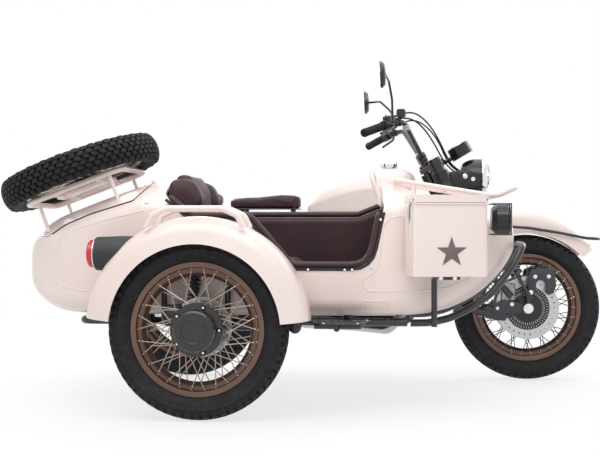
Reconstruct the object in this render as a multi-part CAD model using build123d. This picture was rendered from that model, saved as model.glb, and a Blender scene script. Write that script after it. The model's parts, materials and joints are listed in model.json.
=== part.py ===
from build123d import *
import os
from math import cos, hypot, radians, sin

# Sidecar motorcycle, in millimetres. X is forward, Y is the rider's left and Z is up. The rear axle is at
# X 0, the motorcycle's mid-plane is Y 0 and the ground is Z 0. The sidecar is on the right, at negative Y.

# --- Wheels -------------------------------------------------------------------------------------------
WHEELBASE = 1546.0
TRACK = 1150.0
SIDE_WHEEL_LEAD = 250.0
TYRE_RADIUS = 327.5
TYRE_HALF_WIDTH = 54.0
LUG_HEIGHT = 12.0
LUG_COUNT = 26
RIM_LIP_RADIUS = 242.0
RIM_HALF_WIDTH = 36.0
RIM_LIP = 4.0                # thickness of the rim's lip
BEAD_RADIUS = 229.5
RIM_WELL_RADIUS = 212.0
HUB_RADIUS = 54.0
HUB_FLANGE_RADIUS = 90.0
HUB_FLANGE_Y = 28.0
AXLE_RADIUS = 10.0
SPOKE_RADIUS = 2.4
SPOKES = 60
SPOKE_LEAN = 34.0
FIT = 0.3                    # gap between two pieces that seat on each other
RUNNING_GAP = 6.0            # gap between pieces that move past each other

REAR_AXLE = Vector(0, 0, TYRE_RADIUS)
FRONT_AXLE = Vector(WHEELBASE, 0, TYRE_RADIUS)
SIDE_AXLE = Vector(SIDE_WHEEL_LEAD, -TRACK, TYRE_RADIUS)

# --- Steering -----------------------------------------------------------------------------------------
RAKE = 27.5
STEER_FOOT = Vector(1415, 0, 328)      # a point low on the steering axis
STEER_UP = Vector(-sin(radians(RAKE)), 0, cos(radians(RAKE)))
STEER_AHEAD = Vector(cos(radians(RAKE)), 0, sin(radians(RAKE)))
LEG_AHEAD = 50.0
LEG_Y = 100.0
LEG_RADIUS = 21.0
TOP_CLAMP_UP = 700.0
LOW_CLAMP_UP = 480.0
SHOCK_AHEAD = 140.0
SHOCK_Y = 127.0
LINK_PIVOT = Vector(1190, 0, 335)
LINK_Y = 97.0

# --- Sidecar body -------------------------------------------------------------------------------------
BODY_Y = -700.0
BODY_HALF_WIDTH = 297.0
BODY_FLOOR = 362.0
WALL = 12.0
BULKHEAD_X = -4.0
LID_GAP = 5.0
LID_FRONT_X = 5.0

NODES = {}


def add(name, *solids):
    """File solids under a node's name; solids that touch have been fused before."""
    NODES.setdefault(name, []).extend(solids)


# --- Shapes that repeat -------------------------------------------------------------------------------
def rod(start, end, radius):
    """Straight round bar between two points."""
    start, end = Vector(start), Vector(end)
    return Solid.make_cylinder(radius, (end - start).length, Plane(origin=start, z_dir=end - start))


def cone_rod(start, end, radius_start, radius_end):
    start, end = Vector(start), Vector(end)
    return Solid.make_cone(radius_start, radius_end, (end - start).length,
                           Plane(origin=start, z_dir=end - start))


def tube(points, bend, radius):
    """Round tube of straight runs joined by tangent bends of one radius, or of one radius a corner."""
    path = FilletPolyline(*[Vector(p) for p in points], radius=bend)
    return sweep(Plane(origin=path @ 0, z_dir=path % 0) * Circle(radius), path=path).solid()


def block(x, y, z, rounding=0):
    """Box from (low, high) pairs along X, Y and Z, its edges rounded."""
    solid = Pos((x[0] + x[1]) / 2, (y[0] + y[1]) / 2, (z[0] + z[1]) / 2) * Box(
        abs(x[1] - x[0]), abs(y[1] - y[0]), abs(z[1] - z[0]))
    return fillet(solid.edges(), rounding) if rounding else solid


def side_face(points, y=0):
    """Flat face in a plane of constant Y from (x, z) points, or (x, z, corner radius) points."""
    corners = [Vector(p[0], y, p[1]) for p in points]
    if len(points[0]) == 2:
        return make_face(Polyline(*corners, close=True))
    return make_face(FilletPolyline(*corners, radius=[p[2] for p in points], close=True))


def side_prism(points, y_low, y_high):
    """Solid with the outline `points` seen from the side, between two values of Y."""
    return extrude(side_face(points, y_low), y_high - y_low, dir=(0, 1, 0))


def turned(profile, centre=(0, 0, 0), axis=(0, 1, 0)):
    """Solid of revolution: (radius, distance along the axis) points about an axis through centre."""
    face = make_face(Polyline(*[(r, a) for r, a in profile], close=True))
    return Plane(origin=centre, x_dir=Plane(origin=centre, z_dir=axis).x_dir,
                 z_dir=Vector(axis).cross(Plane(origin=centre, z_dir=axis).x_dir) * -1) * revolve(face,
                                                                                                  Axis.Y, 360)


def both_sides(solid):
    """A solid and its mirror image in the motorcycle's mid-plane."""
    return [solid, mirror(solid, about=Plane.XZ)]


def steer_point(ahead, y, up):
    """A point given by its distance ahead of the steering axis, its Y and its distance up the axis."""
    return STEER_FOOT + STEER_AHEAD * ahead + STEER_UP * up + Vector(0, y, 0)


def fused(first, *others):
    """One solid from solids that meet."""
    result = first.fuse(*others) if others else first
    solids = result.solids() if hasattr(result, "solids") else [result]
    return solids[0] if len(solids) == 1 else result


def coped(solid, cutter):
    """The solid with its end cut to seat on another piece; what is left beyond the cut is dropped."""
    return (solid - cutter).solids().sort_by(SortBy.VOLUME)[-1]


# --- Road wheels --------------------------------------------------------------------------------------
TREAD_RADIUS = TYRE_RADIUS - LUG_HEIGHT


def lug_row(side):
    """Toothed band of tread blocks on one side of the tyre's middle groove."""
    pitch = 360 / LUG_COUNT
    shift = pitch / 4 * side
    corners = []
    for lug in range(LUG_COUNT):
        for share, radius in ((0.0, TREAD_RADIUS), (0.06, TYRE_RADIUS), (0.60, TYRE_RADIUS),
                              (0.66, TREAD_RADIUS)):
            angle = radians(pitch * (lug + share) + shift)
            corners.append((radius * cos(angle), radius * sin(angle)))
    outline = make_face(Polyline(*corners, close=True))
    band = outline - Circle(TREAD_RADIUS - 19)
    inner, outer = 4.0, TYRE_HALF_WIDTH - 2
    low = inner if side > 0 else -outer
    return extrude(Plane(origin=(0, low, 0), x_dir=(1, 0, 0), z_dir=(0, 1, 0)) * band, outer - inner)


def make_tyre():
    bead = RIM_HALF_WIDTH - RIM_LIP - FIT
    half = [  # radius, distance from the mid-plane
        (BEAD_RADIUS + FIT, bead),
        (RIM_LIP_RADIUS + 1, bead),
        (RIM_LIP_RADIUS + 6, bead + 10),
        (275, TYRE_HALF_WIDTH),
        (TREAD_RADIUS - 4, TYRE_HALF_WIDTH - 4),
    ]
    carcass = turned(half + [(r, -y) for r, y in reversed(half)])
    return fused(carcass, lug_row(1), lug_row(-1))


def make_wheel():
    rim = turned([
        (RIM_LIP_RADIUS, RIM_HALF_WIDTH), (RIM_LIP_RADIUS, RIM_HALF_WIDTH - RIM_LIP),
        (BEAD_RADIUS, RIM_HALF_WIDTH - RIM_LIP), (BEAD_RADIUS, RIM_LIP - RIM_HALF_WIDTH),
        (RIM_LIP_RADIUS, RIM_LIP - RIM_HALF_WIDTH), (RIM_LIP_RADIUS, -RIM_HALF_WIDTH),
        (BEAD_RADIUS, -RIM_HALF_WIDTH), (RIM_WELL_RADIUS + 8, -RIM_HALF_WIDTH + 6),
        (RIM_WELL_RADIUS, -18), (RIM_WELL_RADIUS, 18),
        (RIM_WELL_RADIUS + 8, RIM_HALF_WIDTH - 6), (BEAD_RADIUS, RIM_HALF_WIDTH)])
    flange_half = 3.5
    hub = turned([
        (AXLE_RADIUS + 1, HUB_FLANGE_Y + 14), (HUB_RADIUS - 14, HUB_FLANGE_Y + 14),
        (HUB_RADIUS, HUB_FLANGE_Y + flange_half), (HUB_FLANGE_RADIUS, HUB_FLANGE_Y + flange_half),
        (HUB_FLANGE_RADIUS, HUB_FLANGE_Y - flange_half), (HUB_RADIUS, HUB_FLANGE_Y - flange_half),
        (HUB_RADIUS, flange_half - HUB_FLANGE_Y), (HUB_FLANGE_RADIUS, flange_half - HUB_FLANGE_Y),
        (HUB_FLANGE_RADIUS, -flange_half - HUB_FLANGE_Y), (HUB_RADIUS, -flange_half - HUB_FLANGE_Y),
        (HUB_RADIUS - 14, -14 - HUB_FLANGE_Y), (AXLE_RADIUS + 1, -14 - HUB_FLANGE_Y)])
    spokes = []
    for index in range(SPOKES):
        side = 1 if index % 2 else -1
        lean = 1 if index // 2 % 2 else -1
        rim_angle = radians(360 / SPOKES * index)
        hub_angle = rim_angle - radians(SPOKE_LEAN * lean)
        hub_r, rim_r = HUB_FLANGE_RADIUS - 5, RIM_WELL_RADIUS + 5
        spread = 1.45 * SPOKE_RADIUS * lean
        spokes.append(rod(
            (hub_r * cos(hub_angle), side * (HUB_FLANGE_Y + spread), hub_r * sin(hub_angle)),
            (rim_r * cos(rim_angle), side * (12 + spread), rim_r * sin(rim_angle)), SPOKE_RADIUS))
    return fused(rim, hub, *spokes)


def disc(radius, inner, thickness, holes, y):
    """Flat brake disc with a ring of holes and, through its inner ring, five arms to the hub."""
    sketch = Circle(radius) - Circle(inner)
    sketch -= PolarLocations((radius + inner) / 2, holes) * Circle(4)
    arms = Circle(HUB_RADIUS + 2) - Circle(AXLE_RADIUS + 8)
    arms += PolarLocations((inner + HUB_RADIUS) / 2, 5) * Rectangle(inner - HUB_RADIUS + 8, 20)
    return extrude(Plane(origin=(0, y - thickness / 2, 0), x_dir=(1, 0, 0),
                         z_dir=(0, -1, 0)) * (sketch + arms),
                   -thickness)


TYRE = make_tyre()
WHEEL = make_wheel()
FRONT_DISC_Y = 72.0
SIDE_DISC_Y = 70.0

add("rear_tyre", TYRE.moved(Location(REAR_AXLE)))
add("rear_wheel", WHEEL.moved(Location(REAR_AXLE)))
add("front_tyre", TYRE.moved(Location(FRONT_AXLE)))
add("front_wheel", WHEEL.moved(Location(FRONT_AXLE)))
add("sidecar_tyre", TYRE.moved(Location(SIDE_AXLE)))

# The front wheel carries a disc on each side, on a short carrier that stands on the hub's end.
HUB_END = HUB_FLANGE_Y + 14
front_disc = disc(140, 98, 5, 30, FRONT_DISC_Y)
front_carrier = turned([(AXLE_RADIUS + 1, HUB_END + FIT), (HUB_RADIUS - 12, HUB_END + FIT),
                        (HUB_RADIUS - 2, FRONT_DISC_Y), (AXLE_RADIUS + 1, FRONT_DISC_Y)])
front_disc = fused(front_disc, front_carrier)
for piece in both_sides(front_disc):
    add("front_discs", piece.moved(Location(FRONT_AXLE)))

# The sidecar wheel has a lug plate and a hub cap outside and a brake disc inside.
CAP_RADIUS = 74.0
side_plate = turned([(1, -34), (HUB_FLANGE_RADIUS + 6, -34), (HUB_FLANGE_RADIUS + 6, -46),
                     (CAP_RADIUS, -50), (CAP_RADIUS, -104), (CAP_RADIUS - 10, -112), (45, -112), (45, -115),
                     (1, -115)])
side_disc = disc(110, 74, 5, 24, SIDE_DISC_Y)
side_carrier = turned([(AXLE_RADIUS + 5, HUB_END - 6), (HUB_RADIUS - 12, HUB_END - 6),
                       (HUB_RADIUS - 2, SIDE_DISC_Y), (AXLE_RADIUS + 5, SIDE_DISC_Y)])
side_bore = rod((0, -60, 0), (0, 80, 0), AXLE_RADIUS + 5)
side_wheel = fused(WHEEL - side_bore, side_plate - side_bore, fused(side_disc, side_carrier))
for turn in range(5):
    angle = radians(72 * turn)
    spot = Vector(84 * cos(angle), 0, 84 * sin(angle))
    side_wheel = side_wheel + rod(spot + Vector(0, -44, 0), spot + Vector(0, -58, 0), 9)
add("sidecar_wheel", side_wheel.moved(Location(SIDE_AXLE)))

# The rear wheel has the chain's sprocket on the left and a brake disc on the right.
SPROCKET_Y = 67.0
SPROCKET_RADIUS = 92.0
sprocket = disc(SPROCKET_RADIUS, 70, 6, 20, SPROCKET_Y)
sprocket_carrier = turned([(AXLE_RADIUS + 1, HUB_END + FIT), (HUB_RADIUS - 12, HUB_END + FIT),
                           (HUB_RADIUS - 2, SPROCKET_Y), (AXLE_RADIUS + 1, SPROCKET_Y)])
rear_carrier = turned([(AXLE_RADIUS + 1, HUB_END + FIT), (HUB_RADIUS - 12, HUB_END + FIT),
                       (HUB_RADIUS - 2, SIDE_DISC_Y), (AXLE_RADIUS + 1, SIDE_DISC_Y)])
rear_disc = mirror(fused(disc(110, 74, 5, 24, SIDE_DISC_Y), rear_carrier), about=Plane.XZ)
add("rear_sprocket_and_disc", fused(sprocket, sprocket_carrier).moved(Location(REAR_AXLE)),
    rear_disc.moved(Location(REAR_AXLE)))

# --- Motorcycle frame ---------------------------------------------------------------------------------
TUBE = 17.0
SADDLE_SPRING_X = 250.0
SADDLE_BASE = 774.0
EYE_PIN = 8.0
HEAD_RADIUS = 30.0
CRADLE_Y = 130.0
CRADLE_Z = 262.0
BACKBONE_TOP = 747.0         # top of the backbone under the saddle's front bracket
SWING_PIVOT = Vector(490, 0, 345)


def steer_axis_point(up):
    return steer_point(0, 0, up)


head_low, head_high = steer_axis_point(LOW_CLAMP_UP + 18), steer_axis_point(TOP_CLAMP_UP - 18)
frame_parts = [rod(head_low, head_high, HEAD_RADIUS)]
backbone = tube([steer_axis_point(LOW_CLAMP_UP + 70), (1000, 0, 758), (620, 0, 740), (470, 0, 722)], 120,
                TUBE + 3)
frame_parts.append(backbone)
for side in (1, -1):
    frame_parts.append(tube([
        steer_axis_point(LOW_CLAMP_UP + 65), (1062, side * 70, 560), (1030, side * CRADLE_Y, CRADLE_Z),
        (560, side * CRADLE_Y, CRADLE_Z), (470, side * CRADLE_Y, 470), (440, side * 120, 735),
        (-60, side * 110, 745), (-190, side * 95, 765)], [110, 70, 70, 90, 60, 150], TUBE))
    frame_parts.append(rod((490, side * CRADLE_Y, 395), (60, side * 112, 742), TUBE - 4))
    peg_root = Vector(560, side * CRADLE_Y, CRADLE_Z + 20)
    frame_parts.append(rod(peg_root, peg_root + Vector(0, side * 110, 10), 9))
frame_parts.append(rod((470, -124, 722), (470, 124, 722), TUBE - 3))
frame_parts.append(rod((-150, -104, 756), (-150, 104, 756), TUBE - 4))
frame_parts.append(rod((1052, -88, 470), (1052, 88, 470), TUBE - 4))
frame_parts.append(rod((SADDLE_SPRING_X, -114, 726), (SADDLE_SPRING_X, 114, 726), 11))
frame_parts.append(rod((560, -CRADLE_Y, CRADLE_Z), (560, CRADLE_Y, CRADLE_Z), TUBE - 3))
frame_parts.append(rod(SWING_PIVOT + Vector(0, -CRADLE_Y - 12, 0),
                       SWING_PIVOT + Vector(0, CRADLE_Y + 12, 0), 11))
REAR_SHOCK_LOW = Vector(-8, 136, 372)
REAR_SHOCK_HIGH = Vector(70, 146, 690)
for side in (1, -1):
    pin = Vector(REAR_SHOCK_HIGH.X, side * REAR_SHOCK_HIGH.Y, REAR_SHOCK_HIGH.Z)
    frame_parts.append(rod(pin + Vector(0, side * 14, 0), pin - Vector(0, side * 36, 0), EYE_PIN))
    frame_parts.append(rod(pin - Vector(0, side * 26, 0), (pin.X, side * 113, 740), EYE_PIN + 2))
bike_frame = fused(*frame_parts)
for side in (1, -1):
    plate = side_prism([(440, 300, 18), (545, 300, 18), (520, 420, 18), (448, 430, 18)],
                       side * CRADLE_Y - 4, side * CRADLE_Y + 4)
    bike_frame = bike_frame + plate
head_bore = rod(steer_axis_point(LOW_CLAMP_UP), steer_axis_point(TOP_CLAMP_UP), 14)
add("bike_frame", fused(bike_frame - head_bore))

# --- Engine -------------------------------------------------------------------------------------------
crankcase = side_prism([(560, 285, 30), (955, 290, 50), (985, 400, 60), (925, 480, 30), (600, 480, 40),
                        (545, 400, 30)], -104, 104)
crankcase = crankcase - block((500, 600), (57, 120), (250, 500)) - block((500, 580), (-120, 57), (250, 500))
FRONT_SPROCKET = Vector(560, SPROCKET_Y, 352)
FRONT_SPROCKET_RADIUS = 38.0
crankcase = crankcase - rod((FRONT_SPROCKET.X, 57, 352), (FRONT_SPROCKET.X, 106, 352),
                            FRONT_SPROCKET_RADIUS + 16)
crankcase = crankcase + side_prism([(522, 305, 30), (640, 300, 20), (640, 425, 20), (530, 415, 40)], 78, 92)
cover_profile = [(0.5, 0), (92, 0), (92, 14), (78, 30), (0.5, 34)]
for x, z, scale, side in ((845, 385, 1.0, -1), (700, 380, 0.8, -1), (850, 385, 0.9, 1)):
    profile = [(r * scale if r > 1 else r, a * scale) for r, a in cover_profile]
    crankcase = crankcase + turned(profile, (x, side * 103.5, z), (0, side, 0))
add("crankcase", fused(crankcase))

CYLINDER_X = (700, 900)
cylinder = block(CYLINDER_X, (-96, 96), (480 + FIT, 600), 0)
cylinder = fillet(cylinder.edges().filter_by(Axis.Z), 28)
for level in range(7):
    fin = Pos(sum(CYLINDER_X) / 2, 0, 494 + 15 * level) * Box(CYLINDER_X[1] - CYLINDER_X[0] + 34, 226, 5)
    cylinder = cylinder + fillet(fin.edges().filter_by(Axis.Z), 36)
head = side_prism([(688, 600, 8), (912, 600, 8), (918, 655, 20), (680, 655, 20)], -104, 104)
cam_cover = side_prism([(705, 652, 6), (895, 652, 6), (878, 708, 24), (722, 708, 24)], -98, 98)
add("cylinders", fused(cylinder, head))
add("cam_cover", cam_cover - block((680, 920), (-120, 120), (600, 655 + FIT)))

RADIATOR_X = (1122, 1150)
RADIATOR_Z = (440, 640)
radiator = block(RADIATOR_X, (-150, 150), RADIATOR_Z, 5)
for row in range(12):
    radiator = radiator - Pos(RADIATOR_X[1], 0, RADIATOR_Z[0] + 22 + 14.2 * row) * Box(14, 256, 7)
radiator = radiator + rod((sum(RADIATOR_X) / 2, 100, RADIATOR_Z[1] - 2), (sum(RADIATOR_X) / 2, 100, 656),
                          13)
for side in (1, -1):
    strut = rod((RADIATOR_X[0] + 2, side * 72, 540), (1050, side * 74, 540), 7)
    radiator = radiator + coped(strut, rod((1062, side * 70, 560), (1030, side * CRADLE_Y, CRADLE_Z),
                                           TUBE + FIT))
add("radiator", fused(radiator))

PIPE = 19.0
MUFFLER_Y = 196.0
MUFFLER_FRONT = Vector(330, MUFFLER_Y, 300)
MUFFLER_RUN = Vector(-565, 0, 52)
header_left = tube([(918 + FIT, 52, 625), (1000, 56, 610), (1012, 66, 330), (944, 84, 214), (520, 150, 226),
                    MUFFLER_FRONT - MUFFLER_RUN * 0.14, MUFFLER_FRONT + MUFFLER_RUN * 0.03], [48, 90, 110,
                                                                                              60, 40], PIPE)
header_right = tube([(918 + FIT, -52, 625), (1000, -56, 610), (1012, -60, 330), (930, -40, 218),
                     (760, 113, 219)],
                    [48, 80, 60], PIPE)
muffler = turned([(0.5, 0), (PIPE + 3, 0), (44, 80), (44, 520), (26, 565), (18, 565), (18, 500),
                  (0.5, 500)],
                 MUFFLER_FRONT, MUFFLER_RUN)
add("exhaust", fused(header_left, header_right, muffler))

# --- Swingarm, chain and rear shocks ------------------------------------------------------------------
ARM_Y = 96.0
arm_parts = [rod(SWING_PIVOT + Vector(0, -110, 0), SWING_PIVOT + Vector(0, 110, 0), 22)]
for side in (1, -1):
    arm_parts.append(tube([SWING_PIVOT + Vector(0, side * ARM_Y, 0), (380, side * ARM_Y, 330),
                           REAR_AXLE + Vector(-46, side * ARM_Y, 0)], 200, 17))
arm_parts.append(rod(REAR_AXLE + Vector(0, -ARM_Y - 18, 0), REAR_AXLE + Vector(0, ARM_Y + 18, 0),
                     AXLE_RADIUS - 0.05))
arm_parts.append(rod((400, -ARM_Y, 333), (400, ARM_Y, 333), 15))
for side in (1, -1):
    pin = Vector(REAR_SHOCK_LOW.X, side * REAR_SHOCK_LOW.Y, REAR_SHOCK_LOW.Z)
    arm_parts.append(rod(pin + Vector(0, side * 14, 0), (pin.X, side * ARM_Y, pin.Z), EYE_PIN))
    arm_parts.append(rod((pin.X, side * ARM_Y, pin.Z), (pin.X, side * ARM_Y, TYRE_RADIUS), 12))
rear_caliper = block((-128, -66), (-92, -52), (350, 420), 8)
arm_parts.append(rear_caliper - turned([(1, -9), (118, -9), (118, 9), (1, 9)],
                                       REAR_AXLE - Vector(0, SIDE_DISC_Y, 0)))
arm_parts.append(rod((-40, -ARM_Y, 330), (-84, -88, 366), 9))
swingarm = fused(*arm_parts) - rod(SWING_PIVOT + Vector(0, -150, 0), SWING_PIVOT + Vector(0, 150, 0), 11.05)
add("swingarm", fused(swingarm))

CHAIN_GAP = 3.0


def chain_outline(clearance):
    """Loop round both sprockets at a distance outside their tips."""
    rear = Pos(REAR_AXLE.X, REAR_AXLE.Z) * Circle(SPROCKET_RADIUS + clearance)
    front = Pos(FRONT_SPROCKET.X, FRONT_SPROCKET.Z) * Circle(FRONT_SPROCKET_RADIUS + clearance)
    return make_hull(rear.edges() + front.edges())


chain_plane = Plane(origin=(0, SPROCKET_Y + 5, 0), x_dir=(1, 0, 0), z_dir=(0, -1, 0))
chain = extrude(chain_plane * (chain_outline(CHAIN_GAP + 7) - chain_outline(CHAIN_GAP)), 10)
front_sprocket = turned([(9, -4), (FRONT_SPROCKET_RADIUS, -4), (FRONT_SPROCKET_RADIUS, 4), (9, 4)],
                        FRONT_SPROCKET)
add("drive_chain", chain)
sprocket_shaft = rod(FRONT_SPROCKET, (FRONT_SPROCKET.X, 57 + FIT, FRONT_SPROCKET.Z), 14)
add("drive_chain", fused(front_sprocket, sprocket_shaft))

SPRING_RADIUS = 26.0


def coil_shock(low, high, spring_from=0.22, spring_to=0.9):
    """Damper with a bored eye at each end and ribs that stand for the coils of its spring."""
    low, high = Vector(low), Vector(high)
    run = high - low
    parts = [rod(low, high, 9), rod(low + run * 0.5, low + run * (spring_to + 0.03), 16)]
    coils = max(5, round(run.length * (spring_to - spring_from) / 15))
    for coil in range(coils + 1):
        middle = low + run * (spring_from + (spring_to - spring_from) * coil / coils)
        step = run.normalized() * 3.6
        parts.append(rod(middle - step, middle + step,
                         SPRING_RADIUS if 0 < coil < coils else SPRING_RADIUS + 2))
    for eye in (low, high):
        parts.append(rod(eye + Vector(0, -11, 0), eye + Vector(0, 11, 0), 15))
    shock = fused(*parts)
    for eye in (low, high):
        shock = shock - rod(eye + Vector(0, -40, 0), eye + Vector(0, 40, 0), EYE_PIN + FIT)
    return fused(shock)


for side in (1, -1):
    add("rear_shocks", coil_shock((REAR_SHOCK_LOW.X, side * REAR_SHOCK_LOW.Y, REAR_SHOCK_LOW.Z),
                                  (REAR_SHOCK_HIGH.X, side * REAR_SHOCK_HIGH.Y, REAR_SHOCK_HIGH.Z)))

# --- Tank, saddles, covers and rear fender ------------------------------------------------------------
TANK_BOTTOM = 749.0
TANK = [  # x, half width, shoulder height, top height
    (556, 52, 772, 792),
    (602, 82, 800, 861),
    (690, 112, 830, 917),
    (790, 138, 858, 947),
    (900, 150, 868, 960),
    (985, 140, 862, 957),
    (1030, 104, 848, 936),
    (1050, 62, 828, 896),
]


def crowned_section(x, y, half_width, bottom, shoulder, top, bottom_round, shoulder_round):
    """Upright cross-section at X: flat bottom and sides, a crown of one arc, all corners rounded."""
    outline = make_face([
        Line((-half_width, bottom), (half_width, bottom)),
        Line((half_width, bottom), (half_width, shoulder)),
        ThreePointArc((half_width, shoulder), (0, top), (-half_width, shoulder)),
        Line((-half_width, shoulder), (-half_width, bottom))])
    side = shoulder - bottom
    low = outline.vertices().filter_by_position(Axis.Y, bottom - 1, bottom + 1)
    outline = fillet(low, min(bottom_round, side * 0.4))
    high = outline.vertices().filter_by_position(Axis.Y, shoulder - 1, shoulder + 1)
    outline = fillet(high, min(shoulder_round, side * 0.5))
    return Plane(origin=(x, y, 0), x_dir=(0, 1, 0), z_dir=(1, 0, 0)) * outline


tank = loft([crowned_section(x, 0, w, TANK_BOTTOM, s, t, min(18, w * 0.3), w * 0.34) for x, w, s,
             t in TANK])
tank = tank - block((500, 1100), (-32, 32), (700, 800), 0)
CAP_X, CAP_TOP = 927.0, 992.0
tank = tank - rod((CAP_X, 0, 940), (CAP_X, 0, 1000), 31)
add("fuel_tank", fused(tank))
add("fuel_cap", turned([(0.5, 940 + FIT), (30, 940 + FIT), (30, 962), (41, 964), (41, 980), (34, 988),
                        (12, CAP_TOP),
                        (0.5, CAP_TOP)], (CAP_X, 0, 0), (0, 0, 1)))

saddle_plan = make_face(FilletPolyline((191, -132), (191, 132), (330, 118), (527, 48), (527, -48),
                                       (330, -118),
                                       radius=[70, 70, 120, 40, 40, 120], close=True))
saddle_side = side_prism([(150, SADDLE_BASE, 20), (540, SADDLE_BASE, 12), (540, 832, 20), (440, 836, 60),
                          (330, 822, 90), (170, 815, 40)],
                         -150, 150)
saddle = extrude(Plane(origin=(0, 0, 740)) * saddle_plan, 110) & saddle_side
add("rider_saddle", fused(saddle))
saddle_mount = rod((485, 0, SADDLE_BASE - FIT), (485, 0, 750), 12)
saddle_mount = saddle_mount + block((458, 510), (-28, 28), (BACKBONE_TOP + FIT, BACKBONE_TOP + 13), 4)
for side in (1, -1):
    add("saddle_springs", rod((SADDLE_SPRING_X, side * 72, SADDLE_BASE - FIT),
                              (SADDLE_SPRING_X, side * 72, 737 + FIT), 20))
add("saddle_springs", fused(saddle_mount))
add("pillion_saddle", block((-160, 158), (-105, 105), (776, 852), 26))

def fender_shell(lip, side_y, crown, corner, wall, start, sweep_angle, centre):
    """Curved fender: a rounded channel section turned about a crosswise axis through centre."""
    outer = make_face(FilletPolyline((lip, -side_y), (crown, -side_y * 0.94), (crown, side_y * 0.94),
                                     (lip, side_y),
                                     radius=[1, corner, corner, 1], close=True))
    inner = make_face(FilletPolyline((lip - 9, wall - side_y), (crown - wall, wall - side_y * 0.94),
                                     (crown - wall, side_y * 0.94 - wall), (lip - 9, side_y - wall),
                                     radius=[1, corner - wall, corner - wall, 1], close=True))
    shell = revolve(outer - inner, Axis.Y, sweep_angle)
    return Pos(centre) * Rot(0, -start, 0) * shell


REAR_FENDER_CROWN = TYRE_RADIUS + 46
add("rear_fender", fused(fender_shell(300, 82, REAR_FENDER_CROWN, 40, 4, 25, -140, REAR_AXLE)
                         - turned([(1, -200), (TYRE_RADIUS + RUNNING_GAP, -200),
                                   (TYRE_RADIUS + RUNNING_GAP, 200),
                                   (1, 200)], REAR_AXLE)))

tail_bracket = tube([(-150 - TUBE + 4 - FIT, 0, 756), (-300, 0, 742), (-388, 0, 650)], 60, 9)
tail_lens = turned([(0.5, 0), (34, 0), (34, 30), (24, 42), (0.5, 46)], (-392, 0, 640), (-1, 0, 0))
plate = side_prism([(-398, 628), (-390, 628), (-430, 450), (-436, 450)], -95, 95)
add("tail_lamp", fused(tail_lens, tail_bracket, plate))

# --- Links from the motorcycle to the sidecar, and the sidecar's frame ---------------------------------
RAIL_RADIUS = 15.0
RAIL_Z = BODY_FLOOR - 11 - RAIL_RADIUS
RAIL_NEAR_Y = BODY_Y - 230
RAIL_FAR_Y = BODY_Y + 230
RAIL_REAR_X, RAIL_FRONT_X = -240.0, 1000.0

side_frame = [
    tube([(RAIL_REAR_X + 40, RAIL_FAR_Y, RAIL_Z), (RAIL_REAR_X, RAIL_FAR_Y, RAIL_Z),
          (RAIL_REAR_X, RAIL_NEAR_Y, RAIL_Z),
          (RAIL_REAR_X + 40, RAIL_NEAR_Y, RAIL_Z)], 35, RAIL_RADIUS),
    rod((RAIL_REAR_X + 38, RAIL_NEAR_Y, RAIL_Z), (RAIL_FRONT_X, RAIL_NEAR_Y, RAIL_Z), RAIL_RADIUS),
    rod((RAIL_REAR_X + 38, RAIL_FAR_Y, RAIL_Z), (RAIL_FRONT_X, RAIL_FAR_Y, RAIL_Z), RAIL_RADIUS)]
OUTRIGGER_Y = BODY_Y + BODY_HALF_WIDTH + 26
for x in (130, 430, 780, 970):
    side_frame.append(rod((x, RAIL_NEAR_Y, RAIL_Z), (x, OUTRIGGER_Y + 20, RAIL_Z), RAIL_RADIUS))

# An arch over the wheel's shock, between the body and the brake disc, carries the shock and the fender.
ARCH_Y = BODY_Y - BODY_HALF_WIDTH - 24
ARCH_RADIUS = 11.0
ARCH_TOP = 664.0
arch = tube([(96, RAIL_NEAR_Y, RAIL_Z), (96, ARCH_Y, RAIL_Z), (96, ARCH_Y, 610), (216, ARCH_Y, ARCH_TOP),
             (336, ARCH_Y, 610), (336, ARCH_Y, RAIL_Z), (336, RAIL_NEAR_Y, RAIL_Z)], [40, 60, 90, 60, 40],
            ARCH_RADIUS)
side_frame.append(arch)
SHOCK_X = 216.0
SIDE_SHOCK_Y = -1042.0
side_frame.append(rod((SHOCK_X, ARCH_Y, ARCH_TOP - 14), (SHOCK_X, ARCH_Y, ARCH_TOP - 34), 9))
side_frame.append(rod((SHOCK_X, ARCH_Y, ARCH_TOP - 34), (SHOCK_X, SIDE_SHOCK_Y - 14, ARCH_TOP - 34),
                      EYE_PIN))
SIDE_PIVOT = Vector(590, -1052, 326)
side_frame.append(rod((SIDE_PIVOT.X, RAIL_NEAR_Y, RAIL_Z), SIDE_PIVOT + Vector(0, 20, 0), 16))
side_frame.append(rod(SIDE_PIVOT + Vector(0, 24, 0), SIDE_PIVOT + Vector(0, -20, 0), 10))
for x in (20, 430, 780):
    for y in (RAIL_NEAR_Y, RAIL_FAR_Y):
        side_frame.append(rod((x, y, RAIL_Z), (x, y, BODY_FLOOR - FIT), 20))
add("sidecar_frame", fused(*side_frame))

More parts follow.
